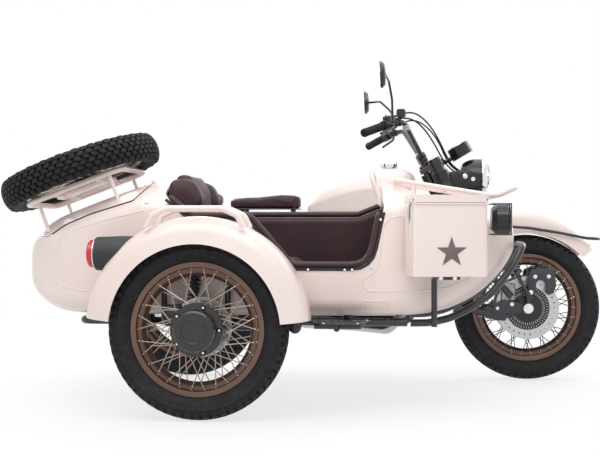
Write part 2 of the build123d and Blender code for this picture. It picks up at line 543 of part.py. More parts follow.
LINK = 15.0
links = [  # bike end, its tube's other end; sidecar end: lower rear, lower front, upper rear, upper front
    ((760, -CRADLE_Y, CRADLE_Z), (860, -CRADLE_Y, CRADLE_Z), 430),
    ((960, -CRADLE_Y, CRADLE_Z), (700, -CRADLE_Y, CRADLE_Z), 970),
    ((450, -123.3, 646), (470, -CRADLE_Y, 470), 130),
    ((1052, -88, 470), (1062, -70, 560), 780),
]
link_runs = [(Vector(bike_end), Vector(x, OUTRIGGER_Y, RAIL_Z)) for bike_end, _, x in links]
for (a, b), (_, tube_end, outrigger_x) in zip(link_runs, links):
    lean = (b - a).normalized()
    link = fused(rod(a, b, LINK), rod(a + lean * 10, a + lean * 62, LINK + 5),
                 rod(b - lean * 62, b - lean * 8, LINK + 5))
    tube_run = (Vector(tube_end) - a).normalized() * 150
    link = coped(link, rod(a - tube_run, a + tube_run, TUBE + FIT))
    add("sidecar_links", coped(link, rod((outrigger_x, OUTRIGGER_Y - 60, RAIL_Z),
                                         (outrigger_x, OUTRIGGER_Y + 60, RAIL_Z),
                                         RAIL_RADIUS + FIT)))

# A panel covers each side of the frame below the saddle; the right one is cut out round the upper rear
# link.
link_hole = rod(*link_runs[2], LINK + 5 + RUNNING_GAP)
for side in (1, -1):
    cover = side_prism([(392, 708, 30), (410, 500, 50), (320, 480, 60), (215, 590, 60), (150, 708, 25)],
                       side * (CRADLE_Y + TUBE + FIT), side * (CRADLE_Y + TUBE + 13))
    cover = fillet(cover.faces().sort_by(Axis.Y)[-1 if side > 0 else 0].edges(), 6)
    add("side_covers", coped(cover, link_hole))

# The sidecar wheel's arm trails from its pivot to the stub axle; its brake caliper stands on it.
SIDE_ARM_Y = SIDE_PIVOT.Y
SIDE_EYE = Vector(SHOCK_X - 6, SIDE_SHOCK_Y, 376)
side_arm = [
    rod(SIDE_PIVOT + Vector(0, -15, 0), SIDE_PIVOT + Vector(0, 15, 0), 22),
    rod(SIDE_PIVOT, (SIDE_WHEEL_LEAD, SIDE_ARM_Y, TYRE_RADIUS), 14),
    rod((SIDE_WHEEL_LEAD, SIDE_ARM_Y + 14, TYRE_RADIUS), (SIDE_WHEEL_LEAD, SIDE_ARM_Y - 14, TYRE_RADIUS),
        26),
    rod((SIDE_WHEEL_LEAD, SIDE_ARM_Y, TYRE_RADIUS), (SIDE_WHEEL_LEAD, -TRACK - 32, TYRE_RADIUS),
        AXLE_RADIUS + 4.95),
    rod((SIDE_WHEEL_LEAD, SIDE_ARM_Y - 11, TYRE_RADIUS), (SHOCK_X - 6, SIDE_ARM_Y - 11, 378), 8),
    rod((SHOCK_X - 6, SIDE_ARM_Y - 6, 376), (SHOCK_X - 6, SIDE_SHOCK_Y + 14, 376), EYE_PIN)]
side_arm = fused(*side_arm) - rod(SIDE_PIVOT + Vector(0, 30, 0), SIDE_PIVOT + Vector(0, -30, 0), 10.05)
side_caliper = block((112, 176), (-1098, -1060), (330, 410), 8)
side_caliper = fused(side_caliper - turned([(1, -9), (118, -9), (118, 9), (1, 9)],
                                           SIDE_AXLE + Vector(0, SIDE_DISC_Y, 0)))
add("sidecar_swingarm", fused(side_arm), side_caliper)
add("sidecar_shock", coil_shock(SIDE_EYE, (SHOCK_X, SIDE_SHOCK_Y, ARCH_TOP - 34), 0.2, 0.86))

# --- Sidecar body: a lofted shell with an open cockpit and a boot --------------------------------------
TAIL = [  # x, half width, bottom, shoulder, crown, bottom radius, shoulder radius
    (-494, 50, 512, 565, 590, 20, 16),
    (-478, 118, 462, 600, 645, 48, 34),
    (-440, 178, 425, 630, 697, 60, 50),
    (-380, 222, 388, 655, 735, 66, 62),
    (-280, 258, 364, 695, 775, 68, 70),
    (-140, 285, 362, 745, 826, 62, 72),
    (-70, 292, 362, 766, 850, 61, 72),
    (0, BODY_HALF_WIDTH, BODY_FLOOR, 785, 872, 60, 72),
]
NOSE = [
    (870, BODY_HALF_WIDTH, BODY_FLOOR, 785, 868, 60, 66),
    (1000, 286, 364, 762, 841, 64, 66),
    (1120, 256, 378, 742, 813, 70, 62),
    (1240, 212, 424, 720, 788, 70, 56),
    (1330, 158, 492, 700, 761, 62, 44),
    (1385, 104, 556, 680, 733, 48, 30),
    (1412, 50, 606, 664, 695, 20, 14),
]


def body_section(row, inset=0.0):
    x, half_width, bottom, shoulder, crown, bottom_round, shoulder_round = row
    return crowned_section(x, BODY_Y, half_width - inset, bottom + inset, shoulder - inset * 0.5,
                           crown - inset,
                           max(bottom_round - inset, 5), max(shoulder_round - inset, 5))


def body_solid(tail, nose, inset=0.0):
    rear = loft([body_section(row, inset) for row in tail])
    middle = loft([body_section(tail[-1], inset), body_section(nose[0], inset)], ruled=True)
    front = loft([body_section(row, inset) for row in nose])
    return fused(rear, middle, front)


outer_body = body_solid(TAIL, NOSE)
inner_body = body_solid(TAIL[1:], NOSE[:-1], WALL)
FAR, NEAR = BODY_Y + BODY_HALF_WIDTH + 60, BODY_Y - BODY_HALF_WIDTH - 60
boot_space = inner_body & block((-600, BULKHEAD_X - WALL / 2), (NEAR, FAR), (300, 950))
cabin_space = inner_body & block((BULKHEAD_X + WALL / 2, 1330), (NEAR, FAR), (300, 950))
shell = fused(outer_body - boot_space - cabin_space)


def offset_outline(points, distance):
    """An open outline of (x, z, corner radius) points, moved sideways to its left by a distance."""
    moved = []
    runs = list(zip(points, points[1:]))
    for (x0, z0, _), (x1, z1, _) in runs:
        length = hypot(x1 - x0, z1 - z0)
        nx, nz = -(z1 - z0) / length, (x1 - x0) / length
        moved.append((x0 + nx * distance, z0 + nz * distance, x1 + nx * distance, z1 + nz * distance))
    result = [(moved[0][0], moved[0][1])]
    for (ax, az, bx, bz), (cx, cz, dx, dz), corner in zip(moved, moved[1:], points[1:]):
        turn = (bx - ax) * (dz - cz) - (bz - az) * (dx - cx)
        share = ((cx - ax) * (dz - cz) - (cz - az) * (dx - cx)) / turn
        radius = corner[2] - distance if turn > 0 else corner[2] + distance
        result.append((ax + (bx - ax) * share, az + (bz - az) * share, radius))
    result.append((moved[-1][2], moved[-1][3]))
    return result


# The cockpit opening is low on the entry side and higher on the side of the motorcycle.
SILL_Z = 541.0
cut_near = [  # x, z, corner radius
    (60, 960, 5), (84, 814, 20), (188, 727, 60), (411, 723, 40), (565, SILL_Z, 60),
    (866, SILL_Z, 95), (914, 771, 20), (888, 960, 5)]
cut_far = [
    (60, 960, 5), (84, 814, 20), (188, 732, 60), (800, 732, 60), (914, 779, 20), (888, 960, 5)]
shell = shell - side_prism(cut_near, NEAR, BODY_Y) - side_prism(cut_far, BODY_Y - 1, FAR)

# The boot lid is the top of the tail; it hinges at its front edge.
lid_outline = [  # x, z, corner radius
    (-600, 656, 5), (-372, 656, 40), (-306, 700, 60), (-206, 739, 100), (-34, 790, 30), (LID_FRONT_X, 845,
                                                                                         10),
    (LID_FRONT_X, 980, 5), (-600, 980, 5)]
lid_zone = side_prism(lid_outline, NEAR, FAR)
lid = fused(shell & lid_zone.moved(Location((-LID_GAP, 0, LID_GAP))))
shell = fused(shell - lid_zone)
HINGE = Vector(LID_FRONT_X - 2, BODY_Y, 870)
HINGE_Y = 70.0
HINGE_RADIUS = 6.0
for side in (1, -1):
    shell = shell - rod(HINGE + Vector(0, side * HINGE_Y - 27, 0),
                        HINGE + Vector(0, side * HINGE_Y + 27, 0), HINGE_RADIUS + 1)
add("sidecar_body", fused(shell))

for side in (1, -1):
    lid = lid + rod(HINGE + Vector(0, side * HINGE_Y - 25, 0), HINGE + Vector(0, side * HINGE_Y + 25, 0),
                    HINGE_RADIUS)
add("boot_lid", fused(lid))

# --- Cockpit trim and seat -----------------------------------------------------------------------------
TRIM_RADIUS = 13.0
wall_y = BODY_HALF_WIDTH - WALL / 2
for edge, y in ((cut_near[2:-1], BODY_Y - wall_y), (cut_far[2:-1], BODY_Y + wall_y)):
    (x0, z0, _), (x1, z1, _) = edge[-2:]
    shortened = edge[:-1] + [(x0 + (x1 - x0) * 0.9, z0 + (z1 - z0) * 0.9, 0)]
    shortened[0] = (shortened[0][0] + 30, shortened[0][1], 0)
    rolled = offset_outline(shortened, TRIM_RADIUS + 2 * FIT)
    add("cockpit_trim", tube([(p[0], y, p[1]) for p in rolled], [p[2] for p in rolled[1:-1]], TRIM_RADIUS))

seat_side = [(130, 470, 20), (600, 490, 30), (600, 560, 40), (420, 570, 90), (160, 555, 20)]
add("seat_cushion", side_prism(seat_side, BODY_Y - 215, BODY_Y + 215))
back_side = [(100, 572, 12), (172, 566, 25), (196, 700, 90), (232, 800, 40), (196, 868, 30), (150, 884, 26),
             (92, 868, 22)]
back_hump = [(100, 572, 12), (168, 566, 25), (196, 700, 90), (190, 850, 40), (150, 905, 24), (104, 906, 22)]
backrest = side_prism(back_side, BODY_Y - 235, BODY_Y - 150) + side_prism(back_side, BODY_Y + 150,
                                                                          BODY_Y + 235)
backrest = backrest + side_prism(back_hump, BODY_Y - 152, BODY_Y + 152)
add("seat_backrest", fused(backrest))

# --- Rails, racks and bars on the sidecar --------------------------------------------------------------
HOOP = 8.5
grab_half = [(897, -260, 776), (894, -260, 803), (871, -258, 866), (866, -240, 903)]
hoop_points = [(x, BODY_Y + y, z) for x, y, z in grab_half] + [(x, BODY_Y - y, z) for x, y,
                                                               z in reversed(grab_half)]
grab_hoop = tube(hoop_points, [25, 60, 18, 18, 60, 25], HOOP)
add("body_rails", grab_hoop)

RACK_TUBE = 10.0
rack_half = [(952, -150, 872), (1336, -150, 809), (1413, -135, 844)]
rack_points = [(x, BODY_Y + y, z) for x, y, z in rack_half] + [(x, BODY_Y - y, z) for x, y,
                                                               z in reversed(rack_half)]
nose_rack = tube(rack_points, [90, 40, 40, 90], RACK_TUBE)
rack_cross = rod((960, BODY_Y - 150, 871), (960, BODY_Y + 150, 871), RACK_TUBE)
nose_rack = fused(nose_rack, rack_cross, rod((1150, BODY_Y - 150, 839.5), (1150, BODY_Y + 150, 839.5),
                                             RACK_TUBE - 2),
                  rod((1290, BODY_Y - 150, 816.5), (1290, BODY_Y + 150, 816.5), RACK_TUBE - 2))
for x, low in ((1026, 800), (1225, 760)):
    for side in (1, -1):
        top = 872 - (x - 952) * 63 / 384
        nose_rack = nose_rack + (rod((x, BODY_Y + side * 150, low), (x, BODY_Y + side * 150, top),
                                     7) - outer_body)
add("body_rails", fused(nose_rack))

BAR = 14.0
bar_half = [  # x, offset from the body's mid-plane, z
    (1012, -200, 331), (1085, -200, 333), (1160, -200, 351), (1234, -200, 389), (1310, -180, 438), (1360,
                                                                                                    -160, 495),
    (1407, -140, 560), (1441, -100, 622)]
bar_points = [(x, BODY_Y + y, z) for x, y, z in bar_half] + [(x, BODY_Y - y, z) for x, y,
                                                             z in reversed(bar_half)]
bar_bends = [200, 160, 160, 160, 160, 160, 45, 45, 160, 160, 160, 160, 160, 200]
add("crash_bar", tube(bar_points, bar_bends, BAR))

RACK_TILT = 20.5
rack_ahead = Vector(cos(radians(RACK_TILT)), 0, sin(radians(RACK_TILT)))
rack_up = Vector(-sin(radians(RACK_TILT)), 0, cos(radians(RACK_TILT)))
SPARE_CENTRE = Vector(-313, BODY_Y, 911)


def rack_point(ahead, y, up):
    """A point given in the tilted frame of the spare wheel, from its centre."""
    return SPARE_CENTRE + rack_ahead * ahead + rack_up * up + Vector(0, y, 0)


RACK_DROP = -TYRE_HALF_WIDTH - 13
rack_corner = [(-200, -195), (205, -195), (205, 195), (-200, 195)]
loop_path = FilletPolyline(*[rack_point(x, y, RACK_DROP) for x, y in rack_corner], radius=50, close=True)
rack_loop = sweep(Plane(origin=loop_path @ 0, z_dir=loop_path % 0) * Circle(11), path=loop_path).solid()
rack_parts = [rack_loop]
for ahead in (-90, 90):
    rack_parts.append(rod(rack_point(ahead, -195, RACK_DROP), rack_point(ahead, 195, RACK_DROP), 9))
rack_plate = Plane(origin=rack_point(0, 0, RACK_DROP), x_dir=rack_ahead, z_dir=rack_up) * Box(230, 110, 12)
rack_parts.append(rack_plate)
rack = fused(*rack_parts)
posts = []
for ahead, offset in ((-150, 195), (150, 195)):
    for side in (1, -1):
        top = rack_point(ahead, side * offset, RACK_DROP)
        posts.append(rod(top, top - rack_up * 130, 7))
for post in posts:
    foot = post - outer_body
    rack = rack + foot.solids().sort_by(Axis.Z)[-1]
post_high = rod(rack_point(0, 0, RACK_DROP), rack_point(0, 0, 40), 16)
add("spare_rack", fused(rack, post_high))
spare_turn = Plane(origin=SPARE_CENTRE, x_dir=rack_ahead, z_dir=rack_ahead.cross(rack_up))
spare_bore = rod((0, -80, 0), (0, 80, 0), 17)
add("spare_tyre", spare_turn * TYRE)
add("spare_wheel", fused(spare_turn * (WHEEL - spare_bore)))

# --- Sidecar fender, hoops and tail lamp ---------------------------------------------------------------
FENDER_WALL = 5.0
fender_outer = make_face(FilletPolyline((306, -1258), (405, -1236), (405, -1058), (330, -1048),
                                        radius=[1, 74, 60, 1], close=True))
fender_inner = make_face(FilletPolyline((290, -1258 + FENDER_WALL),
                                        (405 - FENDER_WALL, -1236 + FENDER_WALL),
                                        (405 - FENDER_WALL, -1058 - FENDER_WALL), (290,
                                                                                   -1048 - FENDER_WALL),
                                        radius=[1, 69, 55, 1], close=True))
side_fender = Pos(SIDE_WHEEL_LEAD, 0, TYRE_RADIUS) * Rot(0, -5, 0) * revolve(fender_outer - fender_inner,
                                                                             Axis.Y, -169)
LAMP_Z = 597.0
lamp_centre = Vector(-124, -TRACK, LAMP_Z)
lamp_body = cone_rod(lamp_centre, lamp_centre + Vector(76, 0, 0), 61, 52)
add("sidecar_fender", fused(side_fender - rod(lamp_centre - Vector(40, 0, 0),
                                              lamp_centre + Vector(77, 0, 0), 61 + FIT)))
tail_lens_side = turned([(0.5, FIT), (51.5, FIT), (51.5, 22), (40, 32), (0.5, 34)], lamp_centre, (-1, 0, 0))
add("sidecar_tail_lamp", lamp_body, tail_lens_side)

for y in (-1230, -1062):
    legs = [(76, y, 690), (96, y, 735), (150, y, 759), (348, y, 759), (402, y, 735), (424, y, 690)]
    hoop = tube(legs, [30, 40, 40, 30], 11)
    hoop = hoop - Pos(SIDE_WHEEL_LEAD, y, TYRE_RADIUS) * Rot(90, 0, 0) * Cylinder(400 + FIT, 60)
    add("fender_hoops", hoop.solids().sort_by(SortBy.VOLUME)[-1])

# --- Side box with its lid, bracket and the lamp beside it ----------------------------------------------
BOX_YAW = 10.0
BOX_LENGTH, BOX_DEPTH = 275.0, 178.0
BOX_LOW, BOX_TOP = 518.0, 808.0
BOX_LID = 26.0
BOX_WALL = 4.0
BOX_RIM = 3.0
box_along = Vector(cos(radians(BOX_YAW)), sin(radians(BOX_YAW)), 0)
box_inward = Vector(-sin(radians(BOX_YAW)), cos(radians(BOX_YAW)), 0)
BOX_CORNER = Vector(1015, -1170, 0)
box_frame = Plane(origin=BOX_CORNER, x_dir=box_along, z_dir=(0, 0, 1))


def in_box(along, inward, up, rounding=0):
    """Box solid in the side box's own frame, from (low, high) pairs."""
    return box_frame * block(along, inward, up, rounding)


lid_low = BOX_TOP - BOX_LID
side_box = block((BOX_RIM, BOX_LENGTH - BOX_RIM), (BOX_RIM, BOX_DEPTH - BOX_RIM), (BOX_LOW, lid_low + 12),
                 0)
side_box = fillet(side_box.edges().filter_by(Axis.Z), 12)
hollow = block((BOX_RIM + BOX_WALL, BOX_LENGTH - BOX_RIM - BOX_WALL),
               (BOX_RIM + BOX_WALL, BOX_DEPTH - BOX_RIM - BOX_WALL),
               (BOX_LOW + BOX_WALL, BOX_TOP), 0)
side_box = side_box - fillet(hollow.edges().filter_by(Axis.Z), 9)
box_lid = fillet(block((0, BOX_LENGTH), (0, BOX_DEPTH), (lid_low, BOX_TOP), 0).edges().filter_by(Axis.Z),
                 14)
box_lid = box_lid - block((BOX_RIM - FIT - 1, BOX_LENGTH - BOX_RIM + FIT + 1),
                          (BOX_RIM - FIT - 1, BOX_DEPTH - BOX_RIM + FIT + 1),
                          (lid_low - 1, lid_low + 12 + FIT), 0)

# The lid's hinge lies just outside the box's front wall: one knuckle on the lid between two on the box.
PIN_ALONG, PIN_Z, KNUCKLE_RADIUS = BOX_LENGTH + 6, lid_low + 3, 4.0
LEAF_END = PIN_ALONG + KNUCKLE_RADIUS - 1
middle = BOX_DEPTH / 2


def knuckle(start, end):
    """Barrel of the box's hinge between two distances along its pin."""
    return rod((PIN_ALONG, start, PIN_Z), (PIN_ALONG, end, PIN_Z), KNUCKLE_RADIUS)


box_lid = box_lid + knuckle(middle - 20, middle + 20)
box_lid = box_lid + block((BOX_LENGTH - 1, PIN_ALONG), (middle - 20, middle + 20), (PIN_Z + 1, PIN_Z + 4))
for start, end in ((middle - 45, middle - 21), (middle + 21, middle + 45)):
    side_box = side_box + knuckle(start, end)
    side_box = side_box + block((BOX_LENGTH - BOX_RIM - 2, LEAF_END), (start, end),
                                (lid_low - 5, lid_low - FIT))
add("side_box", fused(box_frame * side_box))
add("box_lid", fused(box_frame * box_lid))
plate_gap = in_box((60, 200), (BOX_DEPTH - BOX_RIM + FIT, BOX_DEPTH - BOX_RIM + 8),
                   (BOX_LOW + 40, BOX_LOW + 200))
foot = in_box((110, 175), (20, BOX_DEPTH + 30), (BOX_LOW - 12, BOX_LOW - FIT))
bracket_tube = rod((1096, BODY_Y - 330, 330), (1096, BODY_Y - 330, BOX_LOW - 12), 11)
bracket_foot = rod((1096, BODY_Y - 330, 342), (1096, BODY_Y - 200, 336), 11)
bar_seat = tube(bar_points, bar_bends, BAR + FIT)
box_bracket = fused(foot, bracket_tube, coped(bracket_foot, bar_seat))
add("side_box_bracket", coped(box_bracket, outer_body), coped(plate_gap, outer_body))

lamp_x = (1307, 1368)
side_lamp = turned([(0.5, 0), (40, 0), (58, 18), (60, 58), (54, 61), (0.5, 61)], (lamp_x[0], -962, 722),
                   (1, 0, 0))
add("side_lamp", fused(side_lamp, rod((1330, -962, 722), (1318, -880, 690), 9)))

# --- Step plate ------------------------------------------------------------------------------------------
step_plan = make_face(FilletPolyline((618, -1000), (873, -1000), (841, -1165), (680, -1165),
                                     radius=[14, 20, 34, 34],
                                     close=True))
step = extrude(Plane(origin=(0, 0, 344)) * step_plan, 6)
step = step + block((640, 850), (-1003, -997), (332, 350)) + rod((745, -1120, 328),
                                                                 (745, RAIL_NEAR_Y - RAIL_RADIUS - FIT,
                                                                  328), 11)
step = step + rod((660, -1060, 332), (830, -1060, 332), 11)
add("step_plate", fused(step))

# --- Front fork ------------------------------------------------------------------------------------------
fork_parts = []
for up, thickness in ((TOP_CLAMP_UP, 22), (LOW_CLAMP_UP, 30)):
    bosses = [Circle(25), Pos(LEG_AHEAD, LEG_Y) * Circle(36), Pos(LEG_AHEAD, -LEG_Y) * Circle(36)]
    outline = make_hull([edge for boss in bosses for edge in boss.edges()])
    clamp = extrude(outline, thickness / 2, both=True)
    fork_parts.append(Plane(origin=steer_axis_point(up), x_dir=STEER_AHEAD, z_dir=STEER_UP) * clamp)
fork_parts.append(rod(steer_axis_point(LOW_CLAMP_UP), steer_axis_point(TOP_CLAMP_UP + 12), 13.9))
fork_parts.append(rod(steer_axis_point(TOP_CLAMP_UP + 8), steer_axis_point(TOP_CLAMP_UP + 22), 19))
for side in (1, -1):
    fork_parts.append(rod(steer_point(LEG_AHEAD, side * LEG_Y, LOW_CLAMP_UP - 70),
                          steer_point(LEG_AHEAD, side * LEG_Y, TOP_CLAMP_UP + 26), 30))
    fork_parts.append(tube([steer_point(LEG_AHEAD, side * LEG_Y, LOW_CLAMP_UP - 20),
                            steer_point(LEG_AHEAD, side * LEG_Y, 330),
                            LINK_PIVOT + Vector(0, side * (LINK_Y + 12 + LEG_RADIUS), 0)], 120, LEG_RADIUS))
    ear = steer_point(SHOCK_AHEAD, side * SHOCK_Y, 381)
    fork_parts.append(rod(steer_point(LEG_AHEAD, side * LEG_Y, 381 + 30), ear, 12))
    fork_parts.append(rod(ear, steer_point(SHOCK_AHEAD, side * (SHOCK_Y + 38), 381), EYE_PIN))
pivot_reach = Vector(0, LINK_Y + 12 + 2 * LEG_RADIUS, 0)
fork_parts.append(rod(LINK_PIVOT - pivot_reach, LINK_PIVOT + pivot_reach, 11))
add("fork", fused(*fork_parts))
for side in (1, -1):
    add("front_shocks", coil_shock(steer_point(SHOCK_AHEAD, side * (SHOCK_Y + 24), -14),
                                   steer_point(SHOCK_AHEAD, side * (SHOCK_Y + 24), 381), 0.3, 0.92))

link_parts = []
for side in (1, -1):
    y = side * LINK_Y
    link_parts.append(rod(LINK_PIVOT + Vector(0, y - 9, 0), LINK_PIVOT + Vector(0, y + 9, 0), 24))
    link_parts.append(tube([LINK_PIVOT + Vector(0, y, 0), (1324, y, 313), (1404, y, 293), (1446, y, 293),
                            FRONT_AXLE + Vector(0, y, 0)], [150, 60, 60], 12))
    link_parts.append(rod(FRONT_AXLE + Vector(0, y - 10, 0), FRONT_AXLE + Vector(0, y + 10, 0), 26))
    link_parts.append(rod(FRONT_AXLE + Vector(0, y, 0), steer_point(SHOCK_AHEAD, y, -14), 12))
    link_parts.append(rod(steer_point(SHOCK_AHEAD, y, -14), steer_point(SHOCK_AHEAD, side * (SHOCK_Y + 38),
                                                                        -14), EYE_PIN))
link_parts.append(rod(FRONT_AXLE + Vector(0, -LINK_Y - 22, 0), FRONT_AXLE + Vector(0, LINK_Y + 22, 0),
                      AXLE_RADIUS - 0.05))
link_parts.append(rod(LINK_PIVOT + Vector(0, -LINK_Y, 0), LINK_PIVOT + Vector(0, LINK_Y, 0), 18))
link_bore = rod(LINK_PIVOT + Vector(0, -LEG_Y - 40, 0), LINK_PIVOT + Vector(0, LEG_Y + 40, 0), 11.05)
front_link = fused(*link_parts) - link_bore
for side in (1, -1):
    guard = side_prism([(1352, 284, 10), (1446, 270, 10), (1454, 314, 12), (1360, 336, 12)],
                       side * (LINK_Y + 12) - 3, side * (LINK_Y + 12) + 3)
    front_link = front_link + guard
add("front_link", fused(front_link))

for side in (1, -1):
    y = side * FRONT_DISC_Y
    caliper = block((1428, 1492), sorted((y - side * 16, y + side * 22)), (356, 440), 9)
    caliper = caliper - turned([(1, -6), (148, -6), (148, 6), (1, 6)], FRONT_AXLE + Vector(0, y, 0))
    hanger = rod((1460, y + side * 18, 372), (1430, side * (LINK_Y + 2), 306), 10)
    add("front_calipers", coped(caliper + hanger, front_link))

# --- Handlebar and controls -------------------------------------------------------------------------------
BAR_TUBE = 11.0
bar_side = [(825, -405, 1090), (935, -285, 1140), (995, -230, 1150), (1075, -75, 1008)]
handle_points = bar_side + [(x, -y, z) for x, y, z in reversed(bar_side)]
handlebar = tube(handle_points, [90, 45, 40, 40, 45, 90], BAR_TUBE)
for side in (1, -1):
    riser_foot = steer_point(12, side * 48, TOP_CLAMP_UP + 11 + FIT)
    handlebar = handlebar + rod(riser_foot, (1075, side * 48, 1008), 14)
    handlebar = handlebar + rod((1075, side * 48 - 15, 1008), (1075, side * 48 + 15, 1008), 19)
add("handlebar", fused(handlebar))

for side in (1, -1):
    tip = Vector(825, side * 405, 1090)
    inner = Vector(935, side * 285, 1140)
    along = (inner - tip).normalized()
    bore = rod(tip - along * 20, inner + along * 60, BAR_TUBE + 0.1)
    grip = rod(tip - along * 6, tip + along * 122, 17) + rod(tip + along * 118, tip + along * 126, 21)
    add("grips", fused(grip - rod(tip, inner + along * 60, BAR_TUBE + 0.1)))
    switch = rod(tip + along * 128, tip + along * 152, 22) - bore
    switch = switch + Plane(origin=tip + along * 140 + Vector(26, 0, 0), z_dir=along) * Cylinder(8, 22)
    lever = tube([tip + along * 142 + Vector(32, 0, 0), tip + along * 100 + Vector(58, side * 6, -3),
                  tip + along * 6 + Vector(66, side * 16, -6)], 60, 5.5)
    add("hand_controls", fused(switch - rod(tip, inner + along * 60, BAR_TUBE + 0.1), lever))
bar_low, bar_high = Vector(bar_side[1]), Vector(bar_side[2])
bar_run = (bar_high - bar_low).normalized()
MIRROR_AT, PERCH_AT, RESERVOIR_AT = 12, 31, 50   # where each is clamped on the bar's rising stretch


def bar_point(along, side):
    """A point on the handlebar's rising stretch, on either side."""
    spot = bar_low + bar_run * along
    return Vector(spot.X, spot.Y * -side, spot.Z)


def bar_ring(along, side, width, radius):
    """Ring clamped round the handlebar's rising stretch."""
    middle, run = bar_point(along, side), Vector(bar_run.X, bar_run.Y * -side, bar_run.Z)
    ring = rod(middle - run * width / 2, middle + run * width / 2, radius)
    return ring - rod(middle - run * width, middle + run * width, BAR_TUBE + FIT)


def clear_of_bar(solid, side):
    """The solid with the handlebar's rising stretch bored out of it."""
    return solid - rod(bar_point(-20, side), bar_point(80, side), BAR_TUBE + FIT)


reservoir_foot, reservoir_place = bar_point(RESERVOIR_AT, -1), bar_point(RESERVOIR_AT + 12, -1)
reservoir = fused(bar_ring(RESERVOIR_AT, -1, 14, 16),
                  rod(reservoir_foot + Vector(0, 0, 12), reservoir_place + Vector(0, 0, 26), 8),
                  rod(reservoir_place + Vector(0, 0, 24), reservoir_place + Vector(0, 0, 50), 21))
add("hand_controls", fused(clear_of_bar(reservoir, -1)))

MIRROR_RADIUS = 56.0
for side, face in ((-1, Vector(900, -450, 1330)), (1, Vector(810, 450, 1312))):
    root = bar_point(MIRROR_AT, side) + Vector(0, 0, 13)
    elbow = Vector((face.X + root.X) / 2 + 6, face.Y * 0.70, face.Z - 10)
    stem = tube([root, root + Vector(-2, side * 14, 90), elbow, face + Vector(14, 0, 0)], [60, 30], 5)
    glass = turned([(0.5, -8), (MIRROR_RADIUS, -8), (MIRROR_RADIUS, 0), (44, 12), (0.5, 18)], face,
                   (1, 0, 0.05))
    add("mirrors", fused(glass, stem, bar_ring(MIRROR_AT, side, 18, 17)))

LAMP_AXIS_Z = 917.0
headlight = turned([(0.5, 0), (50, 4), (74, 30), (82.5, 62), (82.5, 98), (75, 104), (75, 128), (58, 136),
                    (0.5, 140)],
                   (1250, 0, LAMP_AXIS_Z), (1, 0, 0))
for side in (1, -1):
    headlight = headlight + rod((1300, side * 80, LAMP_AXIS_Z), (1300, side * 104, LAMP_AXIS_Z), 13)
    ear = side_prism([(1160, 930, 10), (1175, 880, 10), (1312, 900, 12), (1312, 936, 12)], side * 97,
                     side * 105)
    ear = ear + rod(steer_point(LEG_AHEAD, side * LEG_Y, 616), steer_point(LEG_AHEAD, side * LEG_Y, 660),
                    37)
    cover = rod(steer_point(LEG_AHEAD, side * LEG_Y, 500), steer_point(LEG_AHEAD, side * LEG_Y, 689),
                30 + FIT)
    headlight = headlight + (ear - cover)
add("headlight", fused(headlight))
DIAL_TILT = 31.0
dial_normal = Vector(-sin(radians(DIAL_TILT)), 0, cos(radians(DIAL_TILT)))
dial_face = Vector(1237, 0, 1061)
dial_stalk = rod(steer_point(150, 0, TOP_CLAMP_UP - 8),
                 steer_point(LEG_AHEAD + 36 + FIT, 0, TOP_CLAMP_UP - 8), 10)
add("instrument", fused(rod(dial_face - dial_normal * 55, dial_face, 51), dial_stalk))

# Control cables: from a perch beside each switch block, over the bar and down into the back of the
# headlight.
cable_routes = [  # side, points
    (-1, [(966, -212, 1182), (1012, -196, 1200), (1062, -184, 1186), (1112, -146, 1140), (1152, -108, 1078),
          (1182, -80, 1016), (1214, -56, 964), (1249, -34, 945)]),
    (1, [(962, 236, 1172), (1008, 224, 1200), (1064, 190, 1196), (1118, 142, 1150), (1160, 98, 1084),
         (1186, 74, 1016), (1216, 52, 964), (1249, 32, 945)]),
    (-1, [(955, -222, 1166), (1000, -196, 1174), (1048, -158, 1162), (1094, -112, 1120), (1134, -70, 1062),
          (1168, -42, 1000), (1206, -30, 952), (1249, -14, 926)]),
]
CABLE_RADIUS = 3.5
FERRULE = 22.0               # length of the sleeve that a cable leaves its perch through


def cord_bends(points):
    """Arc radii as large as the runs beside each corner allow."""
    radii = []
    for before, here, after in zip(points, points[1:], points[2:]):
        into, out = Vector(here) - Vector(before), Vector(after) - Vector(here)
        half_turn = radians(into.get_angle(out)) / 2
        radii.append(0.45 * min(into.length, out.length) / (sin(half_turn) / cos(half_turn)))
    return radii


perches = {side: bar_ring(PERCH_AT, side, 12, 16) for side in (1, -1)}
for side, route in cable_routes:
    bends = cord_bends(route)
    print("cable", round(sum((Vector(b) - Vector(a)).length for a, b in zip(route, route[1:]))),
          "bend radii", [round(bend) for bend in bends])
    add("control_cables", tube(route, bends, CABLE_RADIUS))
    start, lead = Vector(route[0]), (Vector(route[1]) - Vector(route[0])).normalized()
    ferrule_root = start - lead * FERRULE
    perches[side] = perches[side] + rod(ferrule_root, start, CABLE_RADIUS + 2)
    perches[side] = perches[side] + rod(bar_point(PERCH_AT, side), ferrule_root + lead * 4,
                                        CABLE_RADIUS + 1)
for side, perch in perches.items():
    add("hand_controls", fused(clear_of_bar(perch, side)))

